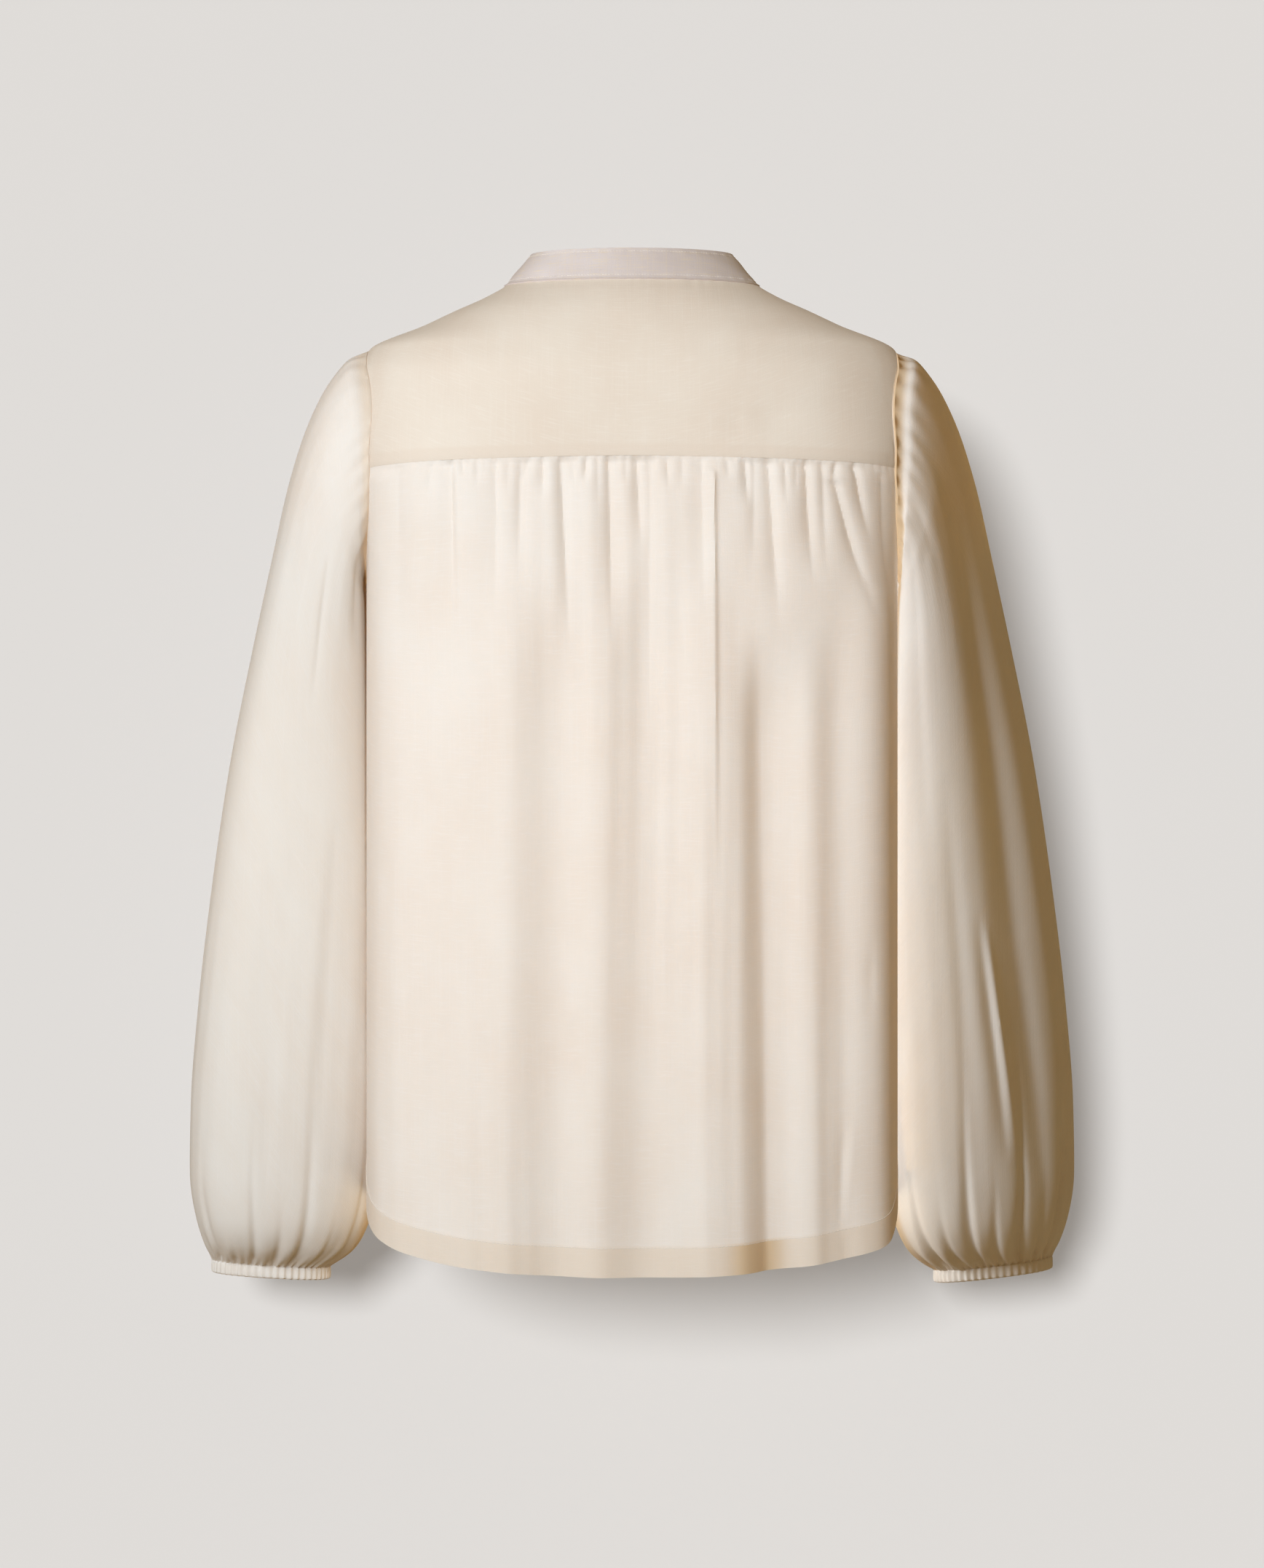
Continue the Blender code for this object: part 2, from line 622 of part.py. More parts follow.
def collar_turns():
    """Return the collar's turns round the neck, the same as the pieces below it."""
    front = front_neck_turns()[1:]
    for width in (0.62 * BAND_HALF_WIDTH, 0.3 * BAND_HALF_WIDTH, COLLAR_END):
        front.append(90.0 + math.degrees(math.acos(width / NECK_HALF_WIDTH)))
    turns = [turn for turn, outer in yoke_seam_columns()]
    return [*reversed(front), *turns, *[-turn for turn in front]]


def make_collar():
    form = [neck(abs(turn)) for turn in collar_turns()]
    sides = np.sign(collar_turns())
    turns = sides * np.array([turn for turn, height in form])
    heights = np.array([height for turn, height in form])
    seam = body(turns, heights)
    above = seam * np.array((0.9, 0.9, 1.0))
    seam = beside(seam, body_normal(turns, heights), above, SEAM_GAP)
    steps = np.linalg.norm(np.diff(seam, axis=0), axis=1)
    along = np.concatenate([[0.0], np.cumsum(steps)])
    from_end = np.minimum(along, along[-1] - along)
    rounding = np.clip(1.0 - from_end / COLLAR_CORNER, 0.0, 1.0)
    drop = COLLAR_CORNER * COLLAR_CORNER_DROP * (1.0 - np.sqrt(1.0 - rounding ** 2))
    rows = []
    for row in range(COLLAR_ROWS + 1):
        rise = (COLLAR_HEIGHT - drop) * row / COLLAR_ROWS
        share = rise / COLLAR_HEIGHT
        x = seam[:, 0] * (1.0 - COLLAR_LEAN_SIDE * share)
        y = seam[:, 1] * (1.0 - COLLAR_LEAN_BACK * share)
        rows.append(np.stack([x, y, seam[:, 2] + rise], axis=-1))
    points = np.array(rows)
    normals = grid_normals(points, closed=False)
    outward = np.sum(normals[..., :2] * points[..., :2]) > 0.0
    add_wall("collar", points, normals if outward else -normals, COLLAR_VOILE)


# ---------------------------------------------------------------- sleeves and cuffs


def sleeve_ring(section, angles):
    """Return a sleeve section's points, from the shoulder side round the back."""
    sideways, along = rounded(angles, SLEEVE_SQUARENESS if section.seam_share < 1.0 else 2.0)
    middle_x = 0.5 * (section.outer_x + section.inner_x)
    middle_z = 0.5 * (section.outer_z + section.inner_z)
    x = middle_x + along * 0.5 * (section.outer_x - section.inner_x)
    z = middle_z + along * 0.5 * (section.outer_z - section.inner_z)
    y = section.middle_y + sideways * section.half_depth
    return np.stack([x, y, z], axis=-1)


def left_sleeve_points():
    """Return the left sleeve's grid of points, from the armhole to the cuff seam."""
    angles = np.arange(ARMHOLE_POINTS) * 360.0 / ARMHOLE_POINTS
    seam = np.array([body(*armhole(point)) for point in range(ARMHOLE_POINTS)])
    seam[:, 0] += SLEEVE_SEAM_GAP
    from_seam = seam - sleeve_ring(SLEEVE_SECTIONS[0], angles)
    last = len(SLEEVE_SECTIONS) - 1
    rows = []
    for number, section in enumerate(SLEEVE_SECTIONS):
        ring = sleeve_ring(section, angles) + section.seam_share * from_seam
        near_cuff = max(0.0, 1.0 - (last - number) / CUFF_GATHER_ROWS) if number < last else 0.0
        ripple = np.cos(np.radians(angles) * CUFF_GATHER_FOLDS)
        middle = ring.mean(axis=0)
        outward = (ring - middle) / np.linalg.norm(ring - middle, axis=1, keepdims=True)
        ring = ring + outward * (CUFF_GATHER_DEPTH * near_cuff * ripple)[:, None]
        if number > 0:
            beside_body = side_of(ring[:, 1], ring[:, 2]) + SLEEVE_CLEARANCE
            ring[:, 0] = np.maximum(ring[:, 0], beside_body)
        rows.append(ring)
    rows[-1][:, 2] += 0.5 * SEAM_GAP
    return np.array(rows)


def make_sleeve(name, side):
    points = left_sleeve_points()
    normals = grid_normals(points, closed=True)
    middle = points.mean(axis=1, keepdims=True)
    if np.sum(normals * (points - middle)) < 0.0:
        normals = -normals
    if side < 0:
        points, normals = mirrored(points), mirrored(normals)
    add_wall(name, points, normals, VOILE, closed=True)


def make_cuff(name, side):
    angles = np.arange(2 * CUFF_PLEATS) * 180.0 / CUFF_PLEATS
    ring = sleeve_ring(SLEEVE_SECTIONS[-1], angles)
    middle = ring.mean(axis=0)
    outward = (ring - middle) / np.linalg.norm(ring - middle, axis=1, keepdims=True)
    ripple = np.where(np.arange(2 * CUFF_PLEATS) % 2 == 0, 0.5, -0.5) * CUFF_PLEAT_DEPTH
    ring = ring + outward * ripple[:, None]
    top = ring - np.array((0.0, 0.0, 0.5 * SEAM_GAP))
    bottom = top - np.array((0.0, 0.0, CUFF_HEIGHT))
    points = np.array([top, bottom])
    normals = np.array([outward, outward])
    if side < 0:
        points, normals = mirrored(points), mirrored(normals)
    add_wall(name, points, normals, VOILE, closed=True)


def main():
    for old in list(bpy.data.objects):
        bpy.data.objects.remove(old)
    make_yoke()
    make_back_panel()
    make_front("left_front", 1)
    make_front("right_front", -1)
    make_bands()
    for number in range(1, BUTTON_COUNT + 1):
        make_button(number)
    make_collar()
    for name, side in (("left", 1), ("right", -1)):
        make_sleeve(f"{name}_sleeve", side)
        make_cuff(f"{name}_cuff", side)


main()
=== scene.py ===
"""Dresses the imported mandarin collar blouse: voile sheets, folds, stitches, buttons and a stage.

The blouse stands upright with its front towards -Y and the wearer's left towards +X.
Sizes in the tables are millimetres, and become metres when a mesh is made.
"""

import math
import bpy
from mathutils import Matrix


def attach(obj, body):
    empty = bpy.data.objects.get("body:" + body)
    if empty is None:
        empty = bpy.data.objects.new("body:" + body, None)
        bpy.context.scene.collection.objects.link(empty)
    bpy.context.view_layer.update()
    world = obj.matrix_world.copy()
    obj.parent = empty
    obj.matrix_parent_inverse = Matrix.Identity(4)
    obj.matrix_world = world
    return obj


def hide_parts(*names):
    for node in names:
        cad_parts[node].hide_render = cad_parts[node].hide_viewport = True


bl_info = {
    "name": "Mandarin collar blouse",
    "version": (1, 0, 0),
    "blender": (4, 5, 0),
    "location": "3D View > Sidebar > Blouse",
    "description": "Builds the blouse's cloth, stitches and buttons round its packed solids",
    "category": "Object",
}

from collections import namedtuple

import bpy
import numpy as np
from bpy.props import FloatProperty, PointerProperty, StringProperty
from mathutils import Matrix, Vector

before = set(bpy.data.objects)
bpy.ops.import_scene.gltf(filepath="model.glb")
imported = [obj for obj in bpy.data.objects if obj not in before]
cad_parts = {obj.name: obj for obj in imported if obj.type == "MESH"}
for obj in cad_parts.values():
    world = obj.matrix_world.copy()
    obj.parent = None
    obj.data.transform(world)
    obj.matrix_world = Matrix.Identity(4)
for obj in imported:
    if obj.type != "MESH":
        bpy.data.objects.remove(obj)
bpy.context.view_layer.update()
MM = 0.001
SIDES = (("Left", 1), ("Right", -1))

# ---------------------------------------------------------------- the garment's form


def table(kind, *rows):
    """Return rows of numbers as sizes that go by their names."""
    return [kind(*row) for row in rows]


Ring = namedtuple("Ring", "height half_width back_depth front_depth squareness")
BODY_RINGS = table(
    Ring,
    (20, 62, 34, 36, 2),
    (-5.5, 88, 48, 46, 2),
    (-15, 104, 58, 50, 2.05),
    (-25, 126, 67, 54, 2.1),
    (-35, 147, 74, 57, 2.15),
    (-52, 185, 83, 62, 2.25),
    (-70, 193, 90, 67, 2.5),
    (-100, 194, 96, 80, 2.9),
    (-133, 192, 100, 96, 3.4),
    (-175, 188, 103, 108, 3.4),
    (-214, 186, 104, 114, 3.4),
    (-450, 186, 106, 117, 3.4),
    (-700, 186, 108, 120, 3.4),
)
NECK_HEIGHT = -5.5
NECK_HALF_WIDTH = 88.0
NECK_DROP = 64.0
NECK_DROP_POWER = 1.6
ARMHOLE_TOP = -52.0
ARMHOLE_BOTTOM = -214.0
ARMHOLE_HALF_HEIGHT = 0.5 * (ARMHOLE_TOP - ARMHOLE_BOTTOM)
ARMHOLE_HALF_DEPTH = 60.0
ARMHOLE_POINTS = 20
YOKE_FRONT_POINT = 3
YOKE_BACK_POINT = 5
YOKE_SEAM = 0.5 * (ARMHOLE_TOP + ARMHOLE_BOTTOM)
YOKE_NECK_TURN_FRONT = 118.0
YOKE_NECK_TURN_BACK = 45.0
HEM_BACK = -693.0
HEM_FRONT = -690.0
HEM_SIDE = -626.0
HEM_CURVE = 2.4
HEM_TURN_UP = 20.0
BAND_HALF_WIDTH = 12.5
BAND_LAP = 1.5
BAND_LIFT = 1.5
BUTTON_FIRST = -84.0
BUTTON_SPACING = 88.0
BUTTON_COUNT = 7
BUTTON_HEIGHTS = [BUTTON_FIRST - BUTTON_SPACING * number for number in range(BUTTON_COUNT)]

Section = namedtuple("Section", "outer_x outer_z inner_x inner_z middle_y half_depth seam_share")
SLEEVE_SECTIONS = table(
    Section,
    (185, -52, 186, -214, 0, 60, 1),
    (197, -57.5, 187, -217.5, 0, 61, 0.6),
    (212, -74, 187, -222, -1, 62, 0.25),
    (227, -102, 186, -228.5, -3, 62, 0),
    (241.5, -145, 184.5, -238.5, -7, 61, 0),
    (254.5, -200, 183, -256, -13, 60, 0),
    (269, -264, 180, -290, -20, 58.5, 0),
    (285.5, -343, 178, -350, -29, 57, 0),
    (299, -428, 177, -430, -38, 56, 0),
    (309.5, -512, 177, -512, -46, 57, 0),
    (315.5, -582, 178, -582, -52, 58, 0),
    (317, -635, 181, -634, -58, 57, 0),
    (313, -668, 188, -669, -62, 53, 0),
    (308, -685, 198, -688.5, -65, 45, 0),
    (304, -694.5, 209.5, -699, -67, 34, 0),
    (302, -699, 218, -704, -68, 24.5, 0),
)
SLEEVE_SQUARENESS = 2.4


def smooth_curve(places, values):
    """Return a curve through all the values that never overshoots between two of them."""
    order = np.argsort(places)
    places = np.asarray(places, float)[order]
    values = np.asarray(values, float)[order]
    steps = np.diff(places)
    slopes = np.diff(values) / steps
    tangents = np.zeros(len(places))
    tangents[0] = slopes[0]
    tangents[-1] = slopes[-1]
    before = slopes[:-1]
    after = slopes[1:]
    rising = before * after > 0.0
    tangents[1:-1][rising] = 2.0 * before[rising] * after[rising] / (before + after)[rising]

    def at(place):
        place = np.clip(place, places[0], places[-1])
        span = np.clip(np.searchsorted(places, place, side="right") - 1, 0, len(steps) - 1)
        step = steps[span]
        t = (place - places[span]) / step
        start = values[span] * (1.0 + 2.0 * t) * (1.0 - t) ** 2
        end = values[span + 1] * t * t * (3.0 - 2.0 * t)
        leave = tangents[span] * step * t * (1.0 - t) ** 2
        arrive = tangents[span + 1] * step * t * t * (t - 1.0)
        return start + end + leave + arrive

    return at


def column_curves(places, rows):
    """Return a table's columns as smooth curves, under the columns' own names."""
    return type(rows[0])(*(smooth_curve(places, column) for column in zip(*rows)))


# The body's sizes by height, and the sleeve's by the number of a section.
FORM = column_curves([ring.height for ring in BODY_RINGS], BODY_RINGS)
SLEEVE_FORM = column_curves(np.arange(len(SLEEVE_SECTIONS)), SLEEVE_SECTIONS)


def unit(ways):
    """Return directions made one long."""
    return ways / np.linalg.norm(ways, axis=-1, keepdims=True)


def rounded(turn, squareness):
    """Return the sideways and backward shares of a rounded rectangle at a turn in degrees."""
    sideways = np.sin(np.radians(turn))
    backward = np.cos(np.radians(turn))
    reach = (np.abs(sideways) ** squareness + np.abs(backward) ** squareness) ** (1.0 / squareness)
    return sideways / reach, backward / reach


def body_depth(backward, height):
    """Return how deep the body form is, on its back or its front."""
    return np.where(backward, FORM.back_depth(height), FORM.front_depth(height))


def body(turn, height):
    """Return the point of the body form at a turn from the centre back and a height."""
    turn, height = np.broadcast_arrays(np.asarray(turn, float), np.asarray(height, float))
    sideways, backward = rounded(turn, FORM.squareness(height))
    depth = body_depth(backward > 0.0, height)
    return np.stack([FORM.half_width(height) * sideways, depth * backward, height], axis=-1)


def body_normal(turn, height):
    """Return the outward direction of the body form."""
    small = 0.05
    across = body(np.asarray(turn) + small, height) - body(np.asarray(turn) - small, height)
    up = body(turn, np.asarray(height) + small) - body(turn, np.asarray(height) - small)
    normal = unit(np.cross(up, across))
    outward = np.sum(normal[..., :2] * body(turn, height)[..., :2], axis=-1, keepdims=True)
    return np.where(outward < 0.0, -normal, normal)


def side_of(y, height):
    """Return how far out the body form's side is at a depth and height."""
    share = np.clip(np.abs(y) / body_depth(y > 0.0, height), 0.0, 1.0)
    squareness = FORM.squareness(height)
    return FORM.half_width(height) * (1.0 - share ** squareness) ** (1.0 / squareness)


def turn_at_depth(y, height):
    """Return the turn at which the body form has a depth, 0 at the back and 180 at the front."""
    share = np.clip(np.abs(y) / body_depth(y >= 0.0, height), 1e-6, 1.0)
    squareness = FORM.squareness(height)
    turn = np.degrees(np.arctan((share ** -squareness - 1.0) ** (1.0 / squareness)))
    return np.where(y >= 0.0, turn, 180.0 - turn)


def turn_at_width(x, height):
    """Return the turn from the middle at which the body form has a distance across."""
    share = np.clip(np.abs(x) / FORM.half_width(height), 1e-6, 1.0)
    squareness = FORM.squareness(height)
    return np.degrees(np.arctan2(1.0, (share ** -squareness - 1.0) ** (1.0 / squareness)))


def neck(turn):
    """Return the neck seam's turn and height on the body form, by its own turn round the neck."""
    turn = np.asarray(turn, float)
    forward = np.radians(np.clip(turn - 90.0, 0.0, None))
    height = NECK_HEIGHT - NECK_DROP * np.sin(forward) ** NECK_DROP_POWER
    front = 180.0 - turn_at_width(NECK_HALF_WIDTH * np.cos(forward), height)
    return np.where(turn <= 90.0, turn, front), height


def armhole(point):
    """Return an armhole point's turn and height, counted from the top towards the back."""
    angle = 2.0 * np.pi * np.asarray(point, float) / ARMHOLE_POINTS
    height = YOKE_SEAM + ARMHOLE_HALF_HEIGHT * np.cos(angle)
    return turn_at_depth(ARMHOLE_HALF_DEPTH * np.sin(angle), height), height


def armhole_side(height, back):
    """Return a lower panel's outer edge: the armhole above its lowest point, then the side seam."""
    rise = np.clip((height - YOKE_SEAM) / ARMHOLE_HALF_HEIGHT, -1.0, 1.0)
    depth = ARMHOLE_HALF_DEPTH * np.sqrt(np.clip(1.0 - rise ** 2, 0.0, 1.0))
    turn = turn_at_depth(depth if back else -depth, height)
    return np.where(height > ARMHOLE_BOTTOM, turn, 90.0)


def hem_height(turn, middle):
    """Return the curved hem's height at a turn, higher at the sides."""
    from_middle = np.minimum(np.abs(turn), 180.0 - np.abs(turn)) / 90.0
    return middle + (HEM_SIDE - middle) * from_middle ** HEM_CURVE


def eased(share):
    """Return a share kept between 0 and 1, with a soft start and end."""
    share = np.clip(share, 0.0, 1.0)
    return share * share * (3.0 - 2.0 * share)


def spaced(*runs):
    """Return places from pairs of an end and a step, the first run being the start alone."""
    places = [runs[0]]
    for end, step in runs[1:]:
        count = max(1, round(abs(end - places[-1]) / step))
        places.extend(np.linspace(places[-1], end, count + 1)[1:])
    return np.array(places)


def distances(path):
    """Return how far along a path each of its points lies."""
    return np.concatenate([[0.0], np.cumsum(np.linalg.norm(np.diff(path, axis=0), axis=-1))])


def mirrored(side, *grids):
    """Return grids made for the left side, turned over where the side is the right."""
    return [grid * (float(side), 1.0, 1.0) for grid in grids]


# ---------------------------------------------------------------- folds

# In the small waves of this file a number that divides a place is a wave's length in
# millimetres for each radian, and a number in front of a sine or a falling off is a height.

# A fold runs from its top place to its low place, between a start and an end below the seam.
# On a panel a place is a distance across. On a sleeve it is a turn: 0 at the outer side, 90
# at the back and 180 at the body. A depth under 0 is a ridge. With a lean over 0 the slope
# towards the larger places is the longer one.
Fold = namedtuple("Fold", "top low start end depth half_width lean")
BACK_GATHERS = table(
    Fold,
    (160, 160, 0, 190, 1.2, 9, 0.3), (138, 139, 0, 34, 0.9, 3, 0), (123.5, 122, 0, 150, 2.6, 5.5, 0.55),
    (116, 114, 0, 16, 1.3, 2.4, 0), (106, 105, 0, 22, 0.9, 2.6, 0), (92.5, 93, 0, 120, 1.7, 4.5, 0.5),
    (84, 85, 0, 30, 0.8, 3, 0), (76, 77.5, 0, 95, 1.8, 5.5, -0.3), (70, 75, 0, 18, 1.3, 2.2, 0),
    (61, 60.5, 0, 32, 2.2, 3, 0.2), (49, 41.5, 0, 150, 2.9, 5.5, -0.35), (40, 40, 0, 26, 0.8, 2.4, 0),
    (31, 32.5, 0, 22, 1.8, 2.3, 0), (23.5, 23, 0, 40, 0.8, 3, 0), (16, 13.5, 0, 140, 3, 5.2, -0.3),
    (5, 4, 0, 24, 0.8, 2.6, 0), (-3, -6.5, 0, 70, 2.1, 3.4, 0.2), (-12.5, -11, 0, 230, 2.2, 9, 0.4),
    (-23.5, -25, 0, 26, 1.4, 2.4, 0), (-34, -34, 0, 30, 0.8, 3.2, 0),
    (-47.5, -49.5, 0, 120, 1.5, 4.2, 0.5), (-56, -57.5, 8, 330, -1.5, 3.2, 0.6),
    (-65, -66, 0, 20, 1, 2.6, 0), (-77, -79, 0, 38, 2.2, 3, 0.2), (-83.5, -82, 0, 90, 1.6, 6, -0.3),
    (-93, -101, 0, 125, 2.9, 4.4, 0.2), (-104, -105, 0, 36, 1.3, 2.6, 0),
    (-112, -111, 0, 30, 0.9, 2.6, 0), (-118.5, -124, 0, 95, 3.1, 4, 0.25),
    (-130, -133, 0, 90, 1.7, 4, 0.2), (-140, -136, 0, 20, 1.8, 2.4, 0),
    (-138, -167, 12, 118, 2.6, 3.6, 0.35), (-152, -163, 0, 60, 2.3, 3.2, 0.3),
    (-170, -176, 4, 120, 1, 5, 0),
)
BACK_DRAPE = table(
    Fold,
    (136, 143, 60, 640, 3.6, 20, 0.1), (50, 53, 80, 640, 5.2, 20, 0), (82, 86, 60, 640, -1.8, 13, 0),
    (20, 23, 60, 640, -1.6, 12, 0), (-12, -8, 60, 640, 5.6, 22, -0.1),
    (-46, -54, 40, 640, -2.6, 14, -0.2), (-89, -97, 110, 640, 13.5, 18, -0.35),
    (-120, -122, 110, 640, -2, 10, 0), (-139, -145, 90, 640, 2.8, 11, 0.1),
    (-163, -168, 40, 640, -6.5, 15, 0),
)
BACK_CREASES = table(
    Fold,
    (-147, -142, 455, 545, 1.5, 2.8, 0.4), (-151, -147, 450, 540, -1.2, 3, 0),
    (-161, -160, 330, 405, 0.9, 3, 0.4), (-30, -46, 90, 200, 0.5, 3, 0.3),
    (118, 112, 300, 520, 0.5, 5, 0.2),
)
FRONT_GATHERS = table(
    Fold,
    (85, 80, 0, 60, 1.5, 3.6, 0.2), (94, 88, 0, 130, 2.3, 4.6, 0.4), (103, 100, 0, 45, 1.3, 3, 0),
    (112, 112, 0, 150, 2.4, 5, -0.3), (122, 121, 0, 60, 1.4, 3.2, 0.2), (132, 138, 0, 160, 2.4, 5, 0.3),
    (142, 148, 0, 70, 1.6, 3.6, 0), (153, 162, 0, 110, 1.9, 4.4, -0.3),
)
FRONT_DRAPE = table(
    Fold,
    (52, 58, 70, 760, 5, 23, 0.1), (84, 92, 90, 760, -1.6, 14, 0), (112, 128, 70, 760, 4.6, 24, -0.1),
    (150, 162, 220, 760, 2, 12, 0.2),
)
GATHER_DEPTH = 1.55
GATHER_RISE = 6.0
GATHER_POWER = 1.25
CREASE_RISE = 25.0
CREASE_POWER = 1.4
DRAPE_RISE = 90.0
FRONT_GATHER_RISE = 7.0
FRONT_GATHER_POWER = 1.5
PUCKER_SPACING = 6.4
PUCKER_DEPTH = 0.65
PUCKER_FALL = 9.0
STREAK_DEPTH = 0.16
SEAM_PUFF = 2.6
SEAM_PUFF_RISE = 12.0
SEAM_PUFF_FALL = 85.0
FLAT_EDGE = 188.0
FLAT_FADE = 16.0


def crossing(across, half_width, lean, power=1.8):
    """Return a fold's height across it, 1 in the middle, with one slope longer than the other."""
    reach = half_width * (1.0 + lean * np.sign(across))
    return np.exp(-np.abs(across / reach) ** power)


def fold_course(fold, below):
    """Return how far down a fold each place lies, from 0 to 1, and the fold's middle there."""
    share = np.clip((below - fold.start) / (fold.end - fold.start), 0.0, 1.0)
    return share, fold.top + (fold.low - fold.top) * share


def fold_depth(x, below, fold, rise, power):
    """Return how deep a fold lies at a distance across and below its seam."""
    share, middle = fold_course(fold, below)
    grown = eased((below - fold.start) / rise) if fold.start > 0.0 else eased(below / rise + 0.15)
    faded = 1.0 - eased((share - 0.35) / 0.65)
    spread = 1.0 + 0.5 * share
    return fold.depth * grown * faded * crossing(x - middle, fold.half_width * spread, fold.lean, power)


def drape_depth(x, below, fold):
    """Return how deep a broad fold lies, growing below its start and reaching the hem."""
    middle = fold_course(fold, below)[1]
    grown = eased((below - fold.start) / DRAPE_RISE)
    return fold.depth * grown * crossing(x - middle, fold.half_width, fold.lean, 2.0)


def seam_puckers(x, below):
    """Return the small uneven dents that the gathering thread draws along a seam."""
    phase = x / PUCKER_SPACING + 0.55 * np.sin(x / 23.0) + 0.35 * np.sin(x / 9.1 + 1.0)
    size = 0.65 + 0.35 * np.sin(x / 17.0 + 0.6)
    dent = np.abs(np.sin(np.pi * phase)) ** 0.7 - 0.6
    return PUCKER_DEPTH * size * dent * np.exp(-np.clip(below, 0.0, None) / PUCKER_FALL)


def soft_streaks(x, below):
    """Return the faint upright ripples that limp voile keeps below its gathers."""
    wave = np.sin(x / 2.1 + 0.9 * np.sin(below / 90.0)) + 0.8 * np.sin(x / 3.7 + below / 210.0)
    patch = 0.5 + 0.5 * np.sin(x / 41.0 + below / 130.0 + 0.7)
    return STREAK_DEPTH * wave * patch * eased(below / 25.0)


def side_fade(x):
    """Return 1 over most of a panel, falling to 0 at its side edges."""
    return eased((FLAT_EDGE - np.abs(x)) / FLAT_FADE)


# ---------------------------------------------------------------- making sheets


def clear_selection():
    """Leave nothing selected, so that an operator acts on its own piece alone."""
    if bpy.context.object is not None and bpy.context.object.mode != "OBJECT":
        bpy.ops.object.mode_set(mode="OBJECT")
    bpy.ops.object.select_all(action="DESELECT")


def pick(obj):
    """Select one piece and make it the active one."""
    clear_selection()
    obj.select_set(True)
    bpy.context.view_layer.objects.active = obj


def finish_mesh(obj, name, material, angle=40.0):
    """Name a piece, place it in its own mesh, shade it smooth and give it its material."""
    pick(obj)
    bpy.ops.object.transform_apply(location=True, rotation=True, scale=True)
    bpy.ops.object.shade_smooth_by_angle(angle=math.radians(angle))
    obj.name = name
    obj.data.name = name
    obj.data.materials.clear()
    obj.data.materials.append(material)
    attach(obj, "root")
    return obj


def cloth_lengths(points):
    """Return each grid point's distance along and across the cloth, for its weave."""
    across = np.linalg.norm(np.diff(points, axis=1), axis=-1)
    across = np.concatenate([np.zeros((points.shape[0], 1)), np.cumsum(across, axis=1)], axis=1)
    across = across - across[:, across.shape[1] // 2, None]
    down = np.linalg.norm(np.diff(points, axis=0), axis=-1)
    down = np.concatenate([np.zeros((1, points.shape[1])), np.cumsum(down, axis=0)], axis=0)
    return np.stack([across, down], axis=-1)


def make_sheet(name, points, normals, thickness, material, marks=None, closed=False):
    """Make a thin sheet: a flat grid whose points are moved onto the form, then thickened.

    points is a grid in millimetres, and normals its outward directions. marks holds a
    share for each point, which the material reads as doubled cloth and, where the marks
    are raised, as painted shade. A closed sheet goes all the way round.
    """
    if marks is None:
        marks = np.zeros(points.shape[:2])
    if closed:
        points, marks = (np.concatenate([grid, grid[:, :1]], axis=1) for grid in (points, marks))
    rows, columns = marks.shape
    clear_selection()
    bpy.ops.mesh.primitive_grid_add(x_subdivisions=columns - 1, y_subdivisions=rows - 1, size=1.0)
    obj = bpy.context.object
    mesh = obj.data
    if len(mesh.vertices) != rows * columns:
        raise RuntimeError(f"{name}: the grid has {len(mesh.vertices)} points, not {rows * columns}")
    mesh.vertices.foreach_set("co", (points * MM).reshape(-1))
    corner = np.empty(len(mesh.loops), np.int32)
    mesh.loops.foreach_get("vertex_index", corner)
    flat = (cloth_lengths(points) * MM).reshape(-1, 2)[corner]
    mesh.uv_layers[0].name = "cloth"
    mesh.uv_layers[0].data.foreach_set("uv", flat.reshape(-1).astype(np.float32))
    doubled_and_shade = mesh.attributes.new("doubled_and_shade", "FLOAT", "POINT")
    doubled_and_shade.data.foreach_set("value", marks.reshape(-1).astype(np.float32))
    mesh.update()
    face = mesh.polygons[len(mesh.polygons) // 2]
    row, column = divmod(face.vertices[0], columns)
    outward = Vector(normals[row, column % normals.shape[1]].tolist())
    pick(obj)
    bpy.ops.object.mode_set(mode="EDIT")
    bpy.ops.mesh.select_all(action="SELECT")
    if face.normal.dot(outward) < 0.0:
        bpy.ops.mesh.flip_normals()
    if closed:
        bpy.ops.mesh.remove_doubles(threshold=0.00001)
    bpy.ops.object.mode_set(mode="OBJECT")
    wall = obj.modifiers.new("cloth wall", "SOLIDIFY")
    wall.thickness = thickness
    wall.offset = -1.0
    bpy.ops.object.modifier_apply(modifier=wall.name)
    return finish_mesh(obj, name, material)


# ---------------------------------------------------------------- yoke, back panel, fronts

BACK_COLUMNS = 352
BACK_ROWS = (0.0, (-4.0, 1.3), (-50.0, 1.6), (-120.0, 3.4), (-466.0, 7.0), (-491.0, 2.4))
FRONT_COLUMNS = 150
FRONT_ROW_STEP = 5.6
YOKE_SIDE_COLUMNS = 84
YOKE_ROWS = 64
YOKE_CORNER = float(armhole(YOKE_BACK_POINT)[0])
TUCK = 2.5
TUCK_DEPTH = 0.9
HEM_LIFT = 0.25
# Round this place across the back the turned-up hem is painted darkest, as painted shade at the foot of the
# deep fold.
HEM_PAINTED_SHADE_X = -86.0
HEM_PAINTED_SHADE_HALF_WIDTH = 19.0
SEAM_SAG = 5.5
SEAM_SAG_FALL = 40.0
SEAM_SAG_POWER = 1.6
YOKE_LENGTH = 110.0
YOKE_LAST_SHARES = (0.985, 0.993, 1.0)
YOKE_LIFT = 0.55
YOKE_EDGE_ROLL = 0.35
YOKE_TURN_UNDER = 0.93
NECK_PUCKER_DEPTH = 0.3
NECK_PUCKER_FALL = 7.0
